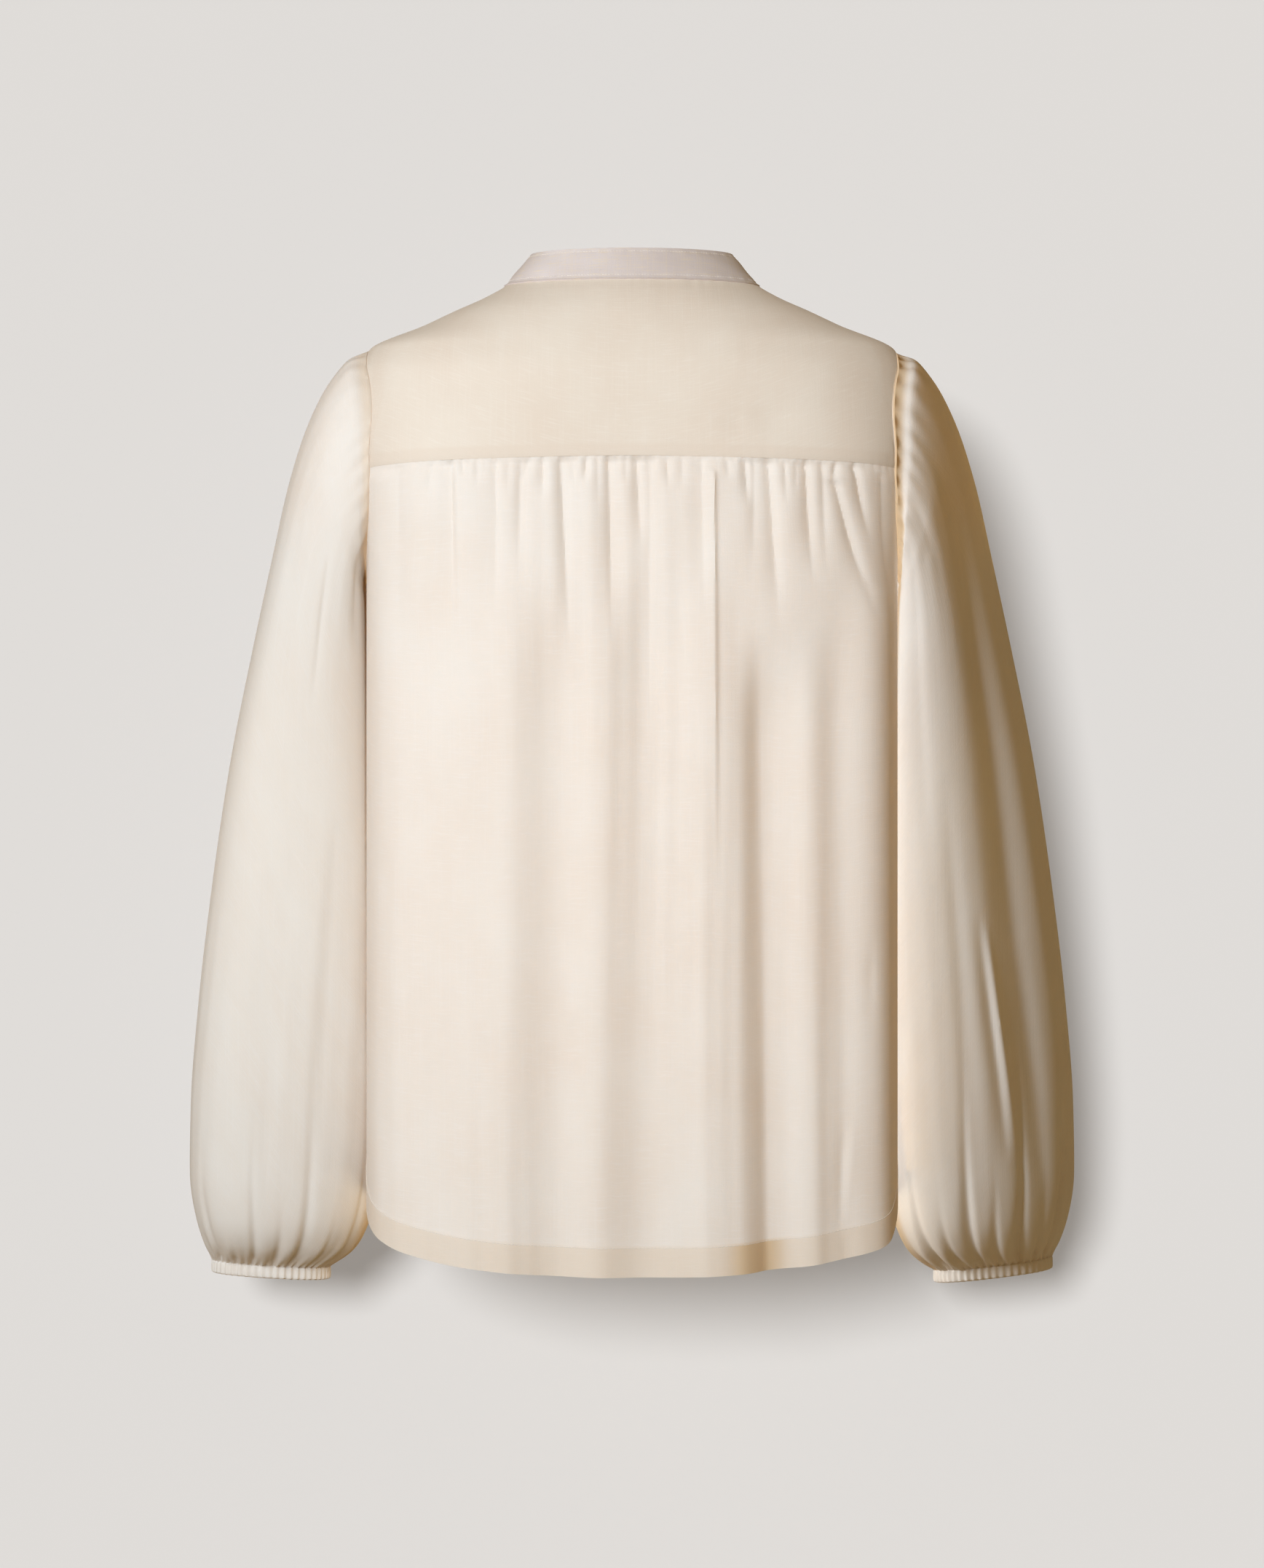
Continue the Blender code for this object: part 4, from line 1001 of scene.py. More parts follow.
def sleeve_surface(side, fold_scale):
    """Return a sleeve's outer points, their outward directions and its doubled cloth, with painted shade
    along the right armhole and under each arm.

    Its first row is tucked under the armhole seam, and its last row into the cuff.
    """
    numbers, to_cuff = sleeve_numbers()
    numbers = numbers[:, None]
    angles = np.arange(SLEEVE_COLUMNS) * 360.0 / SLEEVE_COLUMNS
    seam = body(*armhole(angles * ARMHOLE_POINTS / 360.0))
    seam[:, 0] += SLEEVE_SEAM_GAP
    from_seam = seam - sleeve_ring(np.array(0.0), angles)
    points = sleeve_ring(numbers, angles[None, :])
    points = points + SLEEVE_FORM.seam_share(numbers)[..., None] * from_seam
    points = np.concatenate([points[:1], points], axis=0)
    outward = unit((points[1] - points[1].mean(axis=0)) * (0.0, 1.0, 1.0))
    points[0] += (-SLEEVE_TUCK, 0.0, 0.0) - SLEEVE_TUCK_DEPTH * outward
    numbers = np.concatenate([numbers[:1], numbers], axis=0)
    to_cuff = np.concatenate([to_cuff[:1], to_cuff])[:, None]
    around = np.roll(points, -1, axis=1) - np.roll(points, 1, axis=1)
    normals = unit(np.cross(around, np.gradient(points, axis=0)))
    if np.sum(normals * (points - points.mean(axis=1, keepdims=True))) < 0.0:
        normals = -normals
    drop = -0.5 * (SLEEVE_FORM.outer_z(numbers) + SLEEVE_FORM.inner_z(numbers))
    relief = sleeve_relief(side, angles[None, :], drop, to_cuff)
    points = points + (relief * fold_scale)[..., None] * normals
    beside_body = side_of(points[..., 1], points[..., 2]) + SLEEVE_CLEARANCE
    over = points[..., 0] - beside_body
    pushed = beside_body + 0.5 * (over + np.sqrt(over ** 2 + 4.0))
    near_body = eased((numbers - 0.05) / 1.2) * (over < BODY_REACH)
    points[..., 0] += (pushed - points[..., 0]) * near_body
    points[..., 2] += cuff_tilt(side, points[..., 0]) * eased(1.0 - to_cuff / CUFF_TILT_REACH)
    inward = unit(points[-1].mean(axis=0) - points[-1])
    tucked = points[-1] + CUFF_TUCK * inward - (0.0, 0.0, CUFF_TUCK_DEPTH)
    points = np.concatenate([points, tucked[None]], axis=0)
    normals = np.concatenate([normals, normals[-1:]], axis=0)
    # Beside the armhole the doubled seam allowance is painted; on the right sleeve it is raised further as
    # painted shade in the armhole's groove.
    beside_seam = SLEEVES[side].allowance * np.exp(-((drop - drop[0]) / ARMHOLE_ALLOWANCE_AND_SHADE) ** 4)
    beside_seam = np.append(beside_seam, 0.0)[:, None]
    # Under the arm the doubled seam is painted wide and at full strength, as painted golden shade in the
    # gap between sleeve and body.
    underarm = 2.0 * np.exp(-(turn_gap(angles, UNDERARM_TURN) / UNDERARM_SEAM_AND_SHADE) ** 4)
    return *mirrored(side, points, normals), beside_seam + underarm


class BLOUSE_OT_sleeves(bpy.types.Operator):
    """Hang both bishop sleeves from the armholes, gathered into their cuffs"""

    bl_idname = "blouse.sleeves"
    bl_label = "Sleeves"

    def execute(self, context):
        cloth = context.scene.blouse_cloth
        for name, side in SIDES:
            points, normals, marks = sleeve_surface(side, cloth.fold_depth)
            sleeve = make_sheet(
                f"{name}_sleeve", points, normals, cloth.thickness, woven("voile"), marks, closed=True
            )
            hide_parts(f"{name.lower()}_sleeve")
        return {"FINISHED"}


def cuff_surface(side):
    """Return a cuff casing's outer points and directions: pleats drawn in by its elastic."""
    columns = CUFF_GATHERS * 8
    angles = np.arange(columns) * 360.0 / columns
    angle = np.radians(angles)
    ring = sleeve_ring(np.array(len(SLEEVE_SECTIONS) - 1.0), angles)
    outward = unit(ring - ring.mean(axis=0))
    phase = angle * CUFF_GATHERS + 0.8 * np.sin(angle * 3.0)
    uneven = 0.75 + 0.25 * np.sin(angle * 7.0 + 0.5)
    rows = []
    for share in np.linspace(0.0, 1.0, CUFF_ROWS):
        bulge = CUFF_BULGE * np.sin(np.pi * share) ** 0.6
        rolled = CUFF_EDGE_ROLL * (1.0 - min(1.0, min(share, 1.0 - share) / 0.1)) ** 2
        depth = PLEAT_DEPTH + PLEAT_DEPTH_AT_EDGES * abs(share - 0.5) * 2.0
        out = bulge - rolled + depth * uneven * np.cos(phase + 0.5 * share)
        row = ring + out[:, None] * outward
        row[:, 2] += -0.15 - CUFF_HEIGHT * share + 0.15 * np.cos(phase) * (share in (0.0, 1.0))
        rows.append(row)
    points = np.array(rows)
    points[..., 2] += cuff_tilt(side, points[..., 0])
    return mirrored(side, points, np.broadcast_to(outward, points.shape))


class BLOUSE_OT_cuffs(bpy.types.Operator):
    """Draw both narrow cuff casings in with their elastic"""

    bl_idname = "blouse.cuffs"
    bl_label = "Elastic cuffs"

    def execute(self, context):
        thickness = context.scene.blouse_cloth.thickness
        for name, side in SIDES:
            cuff = make_sheet(f"{name}_cuff", *cuff_surface(side), thickness, woven("voile"), closed=True)
            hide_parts(f"{name.lower()}_cuff")
        return {"FINISHED"}


# ---------------------------------------------------------------- buttons

BUTTON_RADIUS = 5.5
BUTTON_THICKNESS = 2.2
BUTTON_RIM = 1.3
BUTTON_SLOPE = 0.7
BUTTON_DISH = 0.6
BUTTON_BEVEL = 0.45
BUTTON_HOLE_RADIUS = 0.75
BUTTON_HOLE_SPREAD = 1.45
BUTTON_HOLE_DEPTH = 8.0
BUTTON_LIFT = 0.3
BUTTON_TWIST = 9.0


def band_place(points, normals, height):
    """Return a place on the middle of the upper band at a height, and the way out of it."""
    column = int(np.argmin(np.abs(points[0, :, 0])))
    middle = points[:, column]
    row = int(np.searchsorted(-middle[:, 2], -height))
    share = (height - middle[row - 1][2]) / (middle[row][2] - middle[row - 1][2])
    place = middle[row - 1] + (middle[row] - middle[row - 1]) * share
    place[0] = 0.0
    return Vector(place.tolist()), Vector(normals[row, column].tolist())


def edit_faces(obj, wanted):
    """Open a piece for editing, with the faces selected whose directions pass a test."""
    bpy.ops.object.mode_set(mode="EDIT")
    bpy.ops.mesh.select_mode(type="FACE")
    bpy.ops.mesh.select_all(action="DESELECT")
    bpy.ops.object.mode_set(mode="OBJECT")
    for face in obj.data.polygons:
        face.select = wanted(face.normal)
    bpy.ops.object.mode_set(mode="EDIT")


def model_button():
    """Model one dished four-hole button lying flat, its top towards +Z."""
    clear_selection()
    bpy.ops.mesh.primitive_cylinder_add(
        vertices=40, radius=BUTTON_RADIUS * MM, depth=BUTTON_THICKNESS * MM
    )
    button = bpy.context.object
    edit_faces(button, lambda normal: normal.z > 0.9)
    bpy.ops.mesh.inset(thickness=BUTTON_RIM * MM)
    bpy.ops.mesh.inset(thickness=BUTTON_SLOPE * MM, depth=-BUTTON_DISH * MM)
    bpy.ops.object.mode_set(mode="OBJECT")
    rim = button.modifiers.new("soft rim", "BEVEL")
    rim.width = BUTTON_BEVEL * MM
    rim.segments = 3
    rim.limit_method = "ANGLE"
    bpy.ops.object.modifier_apply(modifier=rim.name)
    spread = BUTTON_HOLE_SPREAD * MM
    for quarter in range(4):
        angle = math.radians(45.0 + 90.0 * quarter)
        clear_selection()
        bpy.ops.mesh.primitive_cylinder_add(
            vertices=12,
            radius=BUTTON_HOLE_RADIUS * MM,
            depth=BUTTON_HOLE_DEPTH * MM,
            location=(spread * math.cos(angle), spread * math.sin(angle), 0.0),
        )
        drill = bpy.context.object
        pick(button)
        hole = button.modifiers.new("hole", "BOOLEAN")
        hole.operation = "DIFFERENCE"
        hole.object = drill
        bpy.ops.object.modifier_apply(modifier=hole.name)
        bpy.data.objects.remove(drill)
    return button


class BLOUSE_OT_buttons(bpy.types.Operator):
    """Sew seven shell buttons down the buttonhole band"""

    bl_idname = "blouse.buttons"
    bl_label = "Buttons"

    def execute(self, context):
        pattern = model_button()
        points, normals = upper_band_surface()
        for number, height in enumerate(BUTTON_HEIGHTS, 1):
            name = f"Button_{number}"
            button = bpy.data.objects.new(name, pattern.data.copy())
            context.collection.objects.link(button)
            place, outward = band_place(points, normals, height)
            middle = place + outward * (BUTTON_LIFT + 0.5 * BUTTON_THICKNESS)
            turned = outward.to_track_quat("Z", "Y").to_matrix().to_4x4()
            twist = Matrix.Rotation(math.radians(BUTTON_TWIST * math.sin(2.3 * number)), 4, "Z")
            button.matrix_world = Matrix.Translation(middle * MM) @ turned @ twist
            finish_mesh(button, name, shell_material(), angle=35.0)
            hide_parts(f"button_{number}")
        bpy.data.objects.remove(pattern)
        return {"FINISHED"}


# ---------------------------------------------------------------- stitches

STITCH_LENGTH = 1.9
STITCH_PITCH = 2.6
STITCH_RADIUS = 0.17
STITCH_LIFT = 0.08
COLLAR_STITCH_PITCH = 2.1
BUTTONHOLE_HALF_LENGTH = 6.8
BUTTONHOLE_HALF_WIDTH = 1.3
BUTTONHOLE_PITCH = 0.5
BUTTON_THREAD_REACH = 1.3


def model_stitch():
    """Model one stitch as a short thread with pinched ends, lying along X."""
    clear_selection()
    bpy.ops.mesh.primitive_cylinder_add(
        vertices=6, radius=STITCH_RADIUS, depth=STITCH_LENGTH, rotation=(0.0, math.pi / 2.0, 0.0)
    )
    stitch = bpy.context.object
    bpy.ops.object.transform_apply(location=True, rotation=True, scale=True)
    edit_faces(stitch, lambda normal: abs(normal.x) > 0.9)
    bpy.ops.mesh.inset(thickness=0.07, depth=0.12)
    bpy.ops.object.mode_set(mode="OBJECT")
    return stitch


def lay_along(path, normals, pitch):
    """Return places, directions and upward ways at an even pitch along a path on the cloth."""
    along = distances(path)
    count = max(2, int(along[-1] / pitch))
    wanted = (np.arange(count) + 0.5) * along[-1] / count

    def read(values, places):
        return np.stack([np.interp(places, along, values[:, k]) for k in range(3)], axis=-1)

    forward = unit(read(path, wanted + 0.4) - read(path, wanted - 0.4))
    up = read(normals, wanted)
    up -= forward * np.sum(up * forward, axis=-1, keepdims=True)
    return read(path, wanted), forward, unit(up)


def make_stitches(name, runs, stretch=1.0):
    """Lay copies of one stitch along runs of cloth, joined as one piece.

    Each run is a path and its outward directions, both in millimetres, and a pitch.
    """
    stitch = model_stitch()
    count = len(stitch.data.vertices)
    shape = np.empty(count * 3)
    stitch.data.vertices.foreach_get("co", shape)
    shape = shape.reshape(-1, 3) * (stretch, 1.0, 1.0)
    faces = [tuple(face.vertices) for face in stitch.data.polygons]
    all_points = []
    all_faces = []
    for path, normals, pitch in runs:
        places, forward, up = lay_along(path, normals, pitch)
        ways = np.stack([forward, np.cross(up, forward), up], axis=1)
        for copy in (places + STITCH_LIFT * up)[:, None] + shape @ ways:
            start = len(all_points) * count
            all_points.append(copy)
            all_faces.extend(tuple(start + corner for corner in face) for face in faces)
    mesh = bpy.data.meshes.new(name)
    mesh.from_pydata((np.concatenate(all_points) * MM).tolist(), [], all_faces)
    stitch.data = mesh
    finish_mesh(stitch, name, thread_material(), angle=60.0)


def level_path(points, normals, target):
    """Return the path across a sheet's columns at a height for each of them."""
    path = []
    ways = []
    for column in range(points.shape[1]):
        row = 1 + int(np.searchsorted(-points[1:, column, 2], -target[column]))
        row = min(max(row, 2), points.shape[0] - 1)
        above, beneath = points[row - 1, column], points[row, column]
        share = (target[column] - above[2]) / (beneath[2] - above[2])
        path.append(above + (beneath - above) * share)
        ways.append(normals[row, column])
    return np.array(path), np.array(ways)


def thread_run(places, outward, pitch):
    """Return a run of stitches through some places, all facing one way."""
    return np.array([list(place) for place in places]), np.tile(np.array(outward), (len(places), 1)), pitch


def buttonhole_run(place, outward):
    """Return the loop of thread round one upright buttonhole."""
    up = Vector((0.0, 0.0, 1.0))
    up = (up - outward * up.dot(outward)).normalized() * BUTTONHOLE_HALF_LENGTH
    across = outward.cross(up.normalized()) * BUTTONHOLE_HALF_WIDTH
    reach = zip(*rounded(np.linspace(0.0, 360.0, 49), 4.0))
    return thread_run([place + across * x + up * z for x, z in reach], outward, BUTTONHOLE_PITCH)


class BLOUSE_OT_stitches(bpy.types.Operator):
    """Sew the hem, the collar's edges, the bands, the buttonholes and the buttons"""

    bl_idname = "blouse.stitches"
    bl_label = "Stitches"

    def execute(self, context):
        scale = context.scene.blouse_cloth.fold_depth
        hem = []
        for surface in (back_panel_surface(scale), front_surface(1, scale), front_surface(-1, scale)):
            points, normals = surface[:2]
            hem.append((*level_path(points, normals, points[-1, :, 2] + HEM_TURN_UP), STITCH_PITCH))
        make_stitches("Hem_stitches", hem)
        points, outward = collar_surface()
        rises = np.concatenate([[-COLLAR_FOOT], COLLAR_RISES * COLLAR_HEIGHT])
        collar = []
        for rise in COLLAR_STITCH_RISES:
            row = int(np.argmin(np.abs(rises - rise)))
            collar.append((points[row, 3:-3], outward[row, 3:-3], COLLAR_STITCH_PITCH))
        make_stitches("Collar_stitches", collar, stretch=0.8)
        points, normals = upper_band_surface()
        bands = []
        for inset in (BAND_STITCH_INSET, 2.0 * BAND_HALF_WIDTH + BAND_LAP - BAND_STITCH_INSET):
            column = int(np.argmin(np.abs(BAND_HALF_WIDTH - inset - points[0, :, 0])))
            bands.append((points[3:-3, column], normals[3:-3, column], STITCH_PITCH))
        make_stitches("Band_stitches", bands)
        places = [band_place(points, normals, height) for height in BUTTON_HEIGHTS]
        make_stitches("Buttonhole_stitches", [buttonhole_run(*place) for place in places], stretch=0.55)
        sewn = []
        for place, outward in places:
            level = place + outward * (BUTTON_LIFT + BUTTON_THICKNESS - BUTTON_DISH + 0.05)
            for side in (-1.0, 1.0):
                ends = [level + Vector((side, 0.0, z)) for z in (-BUTTON_THREAD_REACH, BUTTON_THREAD_REACH)]
                sewn.append(thread_run(ends, outward, BUTTON_THREAD_REACH))
        make_stitches("Button_threads", sewn, stretch=0.9)
        return {"FINISHED"}


# ---------------------------------------------------------------- materials

# Each woven cloth: its material's name, the settings that hold its main colour, warmer
# patches, pale slubs, doubled cloth and painted shade, the light through it, and how much light comes
# through.
CLOTHS = {
    # Cotton and silk voile in cream, woven plain: soft, matt and a little see-through.
    "voile": ("Woven cotton and silk voile", "cream", "warm", "pale", "doubled_and_shade", "glow", 0.28),
    # The same voile laid double for the yoke: flatter, and a little pinker and deeper.
    "yoke": ("Doubled voile yoke", "yoke", "yoke_deep", "yoke_pale", "yoke_deep", "glow", 0.10),
    # Voile fused to a stiff interlining: smooth, crisp and greyer, with no light through.
    "collar": ("Interlined voile collar", "collar", "collar_deep", "doubled_and_shade", "collar", "collar", 0.02),
}


def linear(colour):
    """Turn a written sRGB colour such as "#E0DCD9" into linear red, green, blue and one."""
    parts = [int(colour[k : k + 2], 16) / 255.0 for k in (1, 3, 5)]
    return tuple(p / 12.92 if p <= 0.04045 else ((p + 0.055) / 1.055) ** 2.4 for p in parts) + (1.0,)


def add_node(tree, kind, settings=(), links=()):
    """Add a node, set its attributes and inputs, and link its inputs.

    Settings name an attribute, or an input by name or place. Links name an input in the
    same way, and give the output that feeds it.
    """
    node = tree.nodes.new(kind)
    for key, value in dict(settings).items():
        if isinstance(key, str) and hasattr(node, key):
            setattr(node, key, value)
        else:
            node.inputs[key].default_value = value
    for key, source in dict(links).items():
        tree.links.new(source, node.inputs[key])
    return node


def new_material(name):
    """Return an empty material and its node tree."""
    material = bpy.data.materials.new(name)
    material.use_nodes = True
    material.node_tree.nodes.clear()
    return material, material.node_tree


def scaled_noise(tree, place, across, along, detail=2.0, roughness=0.5):
    """Return noise whose grains measure the given millimetres across and along the cloth."""
    scale = (1000.0 / across, 1000.0 / along, 1000.0 / across)
    mapping = add_node(tree, "ShaderNodeMapping", {"Scale": scale}, {0: place})
    settings = {"Scale": 1.0, "Detail": detail, "Roughness": roughness}
    return add_node(tree, "ShaderNodeTexNoise", settings, {0: mapping.outputs[0]}).outputs["Fac"]


def tinted(tree, pattern, between, shares, plain, tint):
    """Return a plain colour that a pattern tints, by a share at each of two pattern values.

    A colour may be written, or be the output that gives it.
    """
    settings = {1: between[0], 2: between[1], 3: shares[0], 4: shares[1]}
    share = add_node(tree, "ShaderNodeMapRange", settings, {0: pattern}).outputs[0]
    mixed = add_node(tree, "ShaderNodeMix", {"data_type": "RGBA"}, {0: share})
    for colour, place in ((plain, 6), (tint, 7)):
        if isinstance(colour, str):
            mixed.inputs[place].default_value = linear(colour)
        else:
            tree.links.new(colour, mixed.inputs[place])
    return mixed.outputs[2]


def woven(kind):
    """Return a plain woven voile that lets a little light through, made once for each kind.

    The slubs are thick places in the weft: they give the eye fine lines across the
    cloth. The warp shows as faint upright streaks. Where the cloth is doubled less
    light comes through, so it is a little warmer and deeper. The same deeper colour
    is painted as shade where the marks are raised for it: on the back's hem below the
    deep fold, along the right armhole and under the arms.
    """
    name, *fields, glow_share = CLOTHS[kind]
    if name in bpy.data.materials:
        return bpy.data.materials[name]
    settings = bpy.context.scene.blouse_cloth
    plain, warm, pale, doubled_and_shade, glow = (getattr(settings, field) for field in fields)
    material, tree = new_material(name)
    place = add_node(tree, "ShaderNodeUVMap", {"uv_map": "cloth"}).outputs[0]
    # The real weft repeats about every 0.35 mm, too fine to show, so it is drawn at 1.1 mm.
    slubs = scaled_noise(tree, place, 16.0, 1.1)
    warp = scaled_noise(tree, place, 1.3, 55.0, detail=1.0)
    grain = scaled_noise(tree, place, 0.9, 0.9, detail=1.0)
    cloud = scaled_noise(tree, place, 55.0, 90.0, detail=3.0)
    neps = scaled_noise(tree, place, 2.6, 1.6, detail=0.0)
    mark = add_node(tree, "ShaderNodeAttribute", {"attribute_name": "doubled_and_shade"}).outputs["Fac"]
    tone = tinted(tree, cloud, (0.34, 0.66), (0.3, 1.0), warm, plain)
    tone = tinted(tree, slubs, (0.52, 0.74), (0.0, 0.55), tone, pale)
    tone = tinted(tree, warp, (0.50, 0.75), (0.0, 0.25), tone, pale)
    tone = tinted(tree, grain, (0.30, 0.52), (0.16, 0.0), tone, warm)
    tone = tinted(tree, neps, (0.76, 0.80), (0.0, 0.35), tone, warm)
    # Doubled cloth takes the deeper colour, and so does painted shade where the marks are raised for it.
    tone = tinted(tree, mark, (0.0, 2.0), (0.0, 1.0), tone, doubled_and_shade)
    height = slubs
    for threads in (warp, grain):
        both = {0: height, 1: threads}
        height = add_node(tree, "ShaderNodeMath", {"operation": "ADD"}, both).outputs[0]
    relief = {"Strength": 0.55, "Distance": 0.00012}
    bump = add_node(tree, "ShaderNodeBump", relief, {"Height": height}).outputs[0]
    finish = {
        "Roughness": 0.82,
        "Specular IOR Level": 0.22,
        "Sheen Weight": 0.12,
        "Sheen Roughness": 0.45,
        "Sheen Tint": linear(pale),
    }
    surface = add_node(tree, "ShaderNodeBsdfPrincipled", finish, {"Base Color": tone, "Normal": bump})
    through = add_node(tree, "ShaderNodeBsdfTranslucent", {"Color": linear(glow)}, {"Normal": bump})
    both = {1: surface.outputs[0], 2: through.outputs[0]}
    cloth = add_node(tree, "ShaderNodeMixShader", {"Fac": glow_share}, both)
    add_node(tree, "ShaderNodeOutputMaterial", links={"Surface": cloth.outputs[0]})
    return material


def thread_material():
    """Spun cotton sewing thread: matt, with a slight lustre where it turns."""
    if "Spun cotton thread" in bpy.data.materials:
        return bpy.data.materials["Spun cotton thread"]
    material, tree = new_material("Spun cotton thread")
    finish = {
        "Base Color": linear(bpy.context.scene.blouse_cloth.thread),
        "Roughness": 0.6,
        "Specular IOR Level": 0.35,
        "Sheen Weight": 0.2,
    }
    cotton = add_node(tree, "ShaderNodeBsdfPrincipled", finish)
    add_node(tree, "ShaderNodeOutputMaterial", links={"Surface": cotton.outputs[0]})
    return material


def shell_material():
    """River shell, cut and polished: cloudy cream layers under a soft gloss."""
    if "Cut river shell" in bpy.data.materials:
        return bpy.data.materials["Cut river shell"]
    material, tree = new_material("Cut river shell")
    buttons = bpy.context.scene.blouse_buttons
    place = add_node(tree, "ShaderNodeTexCoord").outputs["Object"]
    layers = scaled_noise(tree, place, 3.4, 7.0, detail=3.0, roughness=0.6)
    tone = tinted(tree, layers, (0.35, 0.65), (0.0, 1.0), buttons.deep, buttons.shell)
    finish = {"Roughness": 0.28, "Coat Weight": 0.35, "Coat Roughness": 0.12}
    shell = add_node(tree, "ShaderNodeBsdfPrincipled", finish, {"Base Color": tone})
    add_node(tree, "ShaderNodeOutputMaterial", links={"Surface": shell.outputs[0]})
    return material


def one_sided(tree, front):
    """Show a shader on a surface's front, and leave its back clear."""
    clear = add_node(tree, "ShaderNodeBsdfTransparent")
    behind = add_node(tree, "ShaderNodeNewGeometry").outputs["Backfacing"]
    links = {0: behind, 1: front.outputs[0], 2: clear.outputs[0]}
    both = add_node(tree, "ShaderNodeMixShader", links=links)
    add_node(tree, "ShaderNodeOutputMaterial", links={"Surface": both.outputs[0]})


def paper_material():
    """Matt paper sweep: even and pale, with no shine. Its back isn't seen."""
    stage = bpy.context.scene.blouse_stage
    material, tree = new_material("Matt paper sweep")
    finish = {
        "Base Color": linear(stage.paper),
        "Roughness": 1.0,
        "Specular IOR Level": 0.0,
        "Emission Color": linear(stage.paper_glow),
        "Emission Strength": 1.0,
    }
    one_sided(tree, add_node(tree, "ShaderNodeBsdfPrincipled", finish))
    return material


def floor_material():
    """Pale painted floor: even, with no shine, and clear from below."""
    material, tree = new_material("Pale painted floor")
    paint = {"Color": linear(bpy.context.scene.blouse_stage.backdrop), "Strength": 1.0}
    one_sided(tree, add_node(tree, "ShaderNodeEmission", paint))
    return material


# ---------------------------------------------------------------- stage

MIDDLE = Vector((0.0, 0.0, -0.38))
SENSOR_WIDTH = 36.0
VIEW_END = 30.0
STAGE_SIZE = 8.0
BOX_SIZE = (1.0, 1.2)
BOX_RISE = 20.0
BOX_DISTANCE = 2.4
FAR_LAMP_WIDTH = 16.0
FAR_LAMP_WAY = (-0.25, -1.0, -0.20)


def room(stage):
    """Return a room with a warm even light, and the paper's colour where the camera sees it."""
    world = bpy.data.worlds.new("Warm room")
    world.use_nodes = True
    tree = world.node_tree
    tree.nodes.clear()
    seen = add_node(tree, "ShaderNodeLightPath").outputs["Is Camera Ray"]
    warm = {"Color": linear(stage.room), "Strength": stage.fill}
    fill = add_node(tree, "ShaderNodeBackground", warm)
    pale = add_node(tree, "ShaderNodeBackground", {"Color": linear(stage.backdrop)})
    links = {0: seen, 1: fill.outputs[0], 2: pale.outputs[0]}
    both = add_node(tree, "ShaderNodeMixShader", links=links)
    add_node(tree, "ShaderNodeOutputWorld", links={"Surface": both.outputs[0]})
    return world


def from_the_middle(azimuth, rise=BOX_RISE, distance=BOX_DISTANCE):
    """Return a place round the blouse's middle: turned from the camera, raised, and how far."""
    turned, raised = math.radians(azimuth), math.radians(rise)
    level = math.cos(raised)
    way = Vector((math.sin(turned) * level, math.cos(turned) * level, math.sin(raised)))
    return MIDDLE + way * distance


def light_group(name, pieces):
    """Return a collection of the pieces that one lamp lights."""
    group = bpy.data.collections.new(name)
    for piece in pieces:
        group.objects.link(piece)
    return group


def add_lamp(name, kind, power, way, lit, blocked_by=None):
    """Add a lamp that shines one way and lights one group of pieces."""
    data = bpy.data.lights.new(name, kind)
    data.energy = power
    lamp = bpy.data.objects.new(name, data)
    bpy.context.collection.objects.link(lamp)
    lamp.rotation_euler = Vector(way).to_track_quat("-Z", "Y").to_euler()
    lamp.light_linking.receiver_collection = lit
    if blocked_by:
        lamp.light_linking.blocker_collection = blocked_by
    return lamp


def soft_box(name, place, size, power, colour, lit, way=None, blocked_by=None):
    """Add a soft box, turned to the blouse's middle unless it is given a way to face."""
    lamp = add_lamp(name, "AREA", power, way or MIDDLE - Vector(place), lit, blocked_by)
    lamp.data.shape = "RECTANGLE"
    lamp.data.size, lamp.data.size_y = size
    lamp.data.color = linear(colour)[:3]
    lamp.location = place
    lamp.visible_camera = False
    return lamp


def stage_plane(name, place, material, upright=False):
    """Add a large plane, level or facing the camera, that neither lights nor shades the blouse."""
    clear_selection()
    bpy.ops.mesh.primitive_plane_add(size=STAGE_SIZE)
    plane = bpy.context.object
    if upright:
        quarter = math.radians(90.0)
        bpy.ops.transform.rotate(value=quarter, orient_axis="X", center_override=(0.0, 0.0, 0.0))
    bpy.ops.transform.translate(value=place)
    bpy.ops.object.transform_apply(location=True, rotation=True, scale=True)
    plane.name = name
    plane.data.materials.append(material)
    if upright and plane.data.polygons[0].normal.y < 0.0:
        plane.data.flip_normals()
    plane.visible_diffuse = False
    plane.visible_glossy = False
    plane.visible_transmission = False
    plane.visible_shadow = False
    return plane


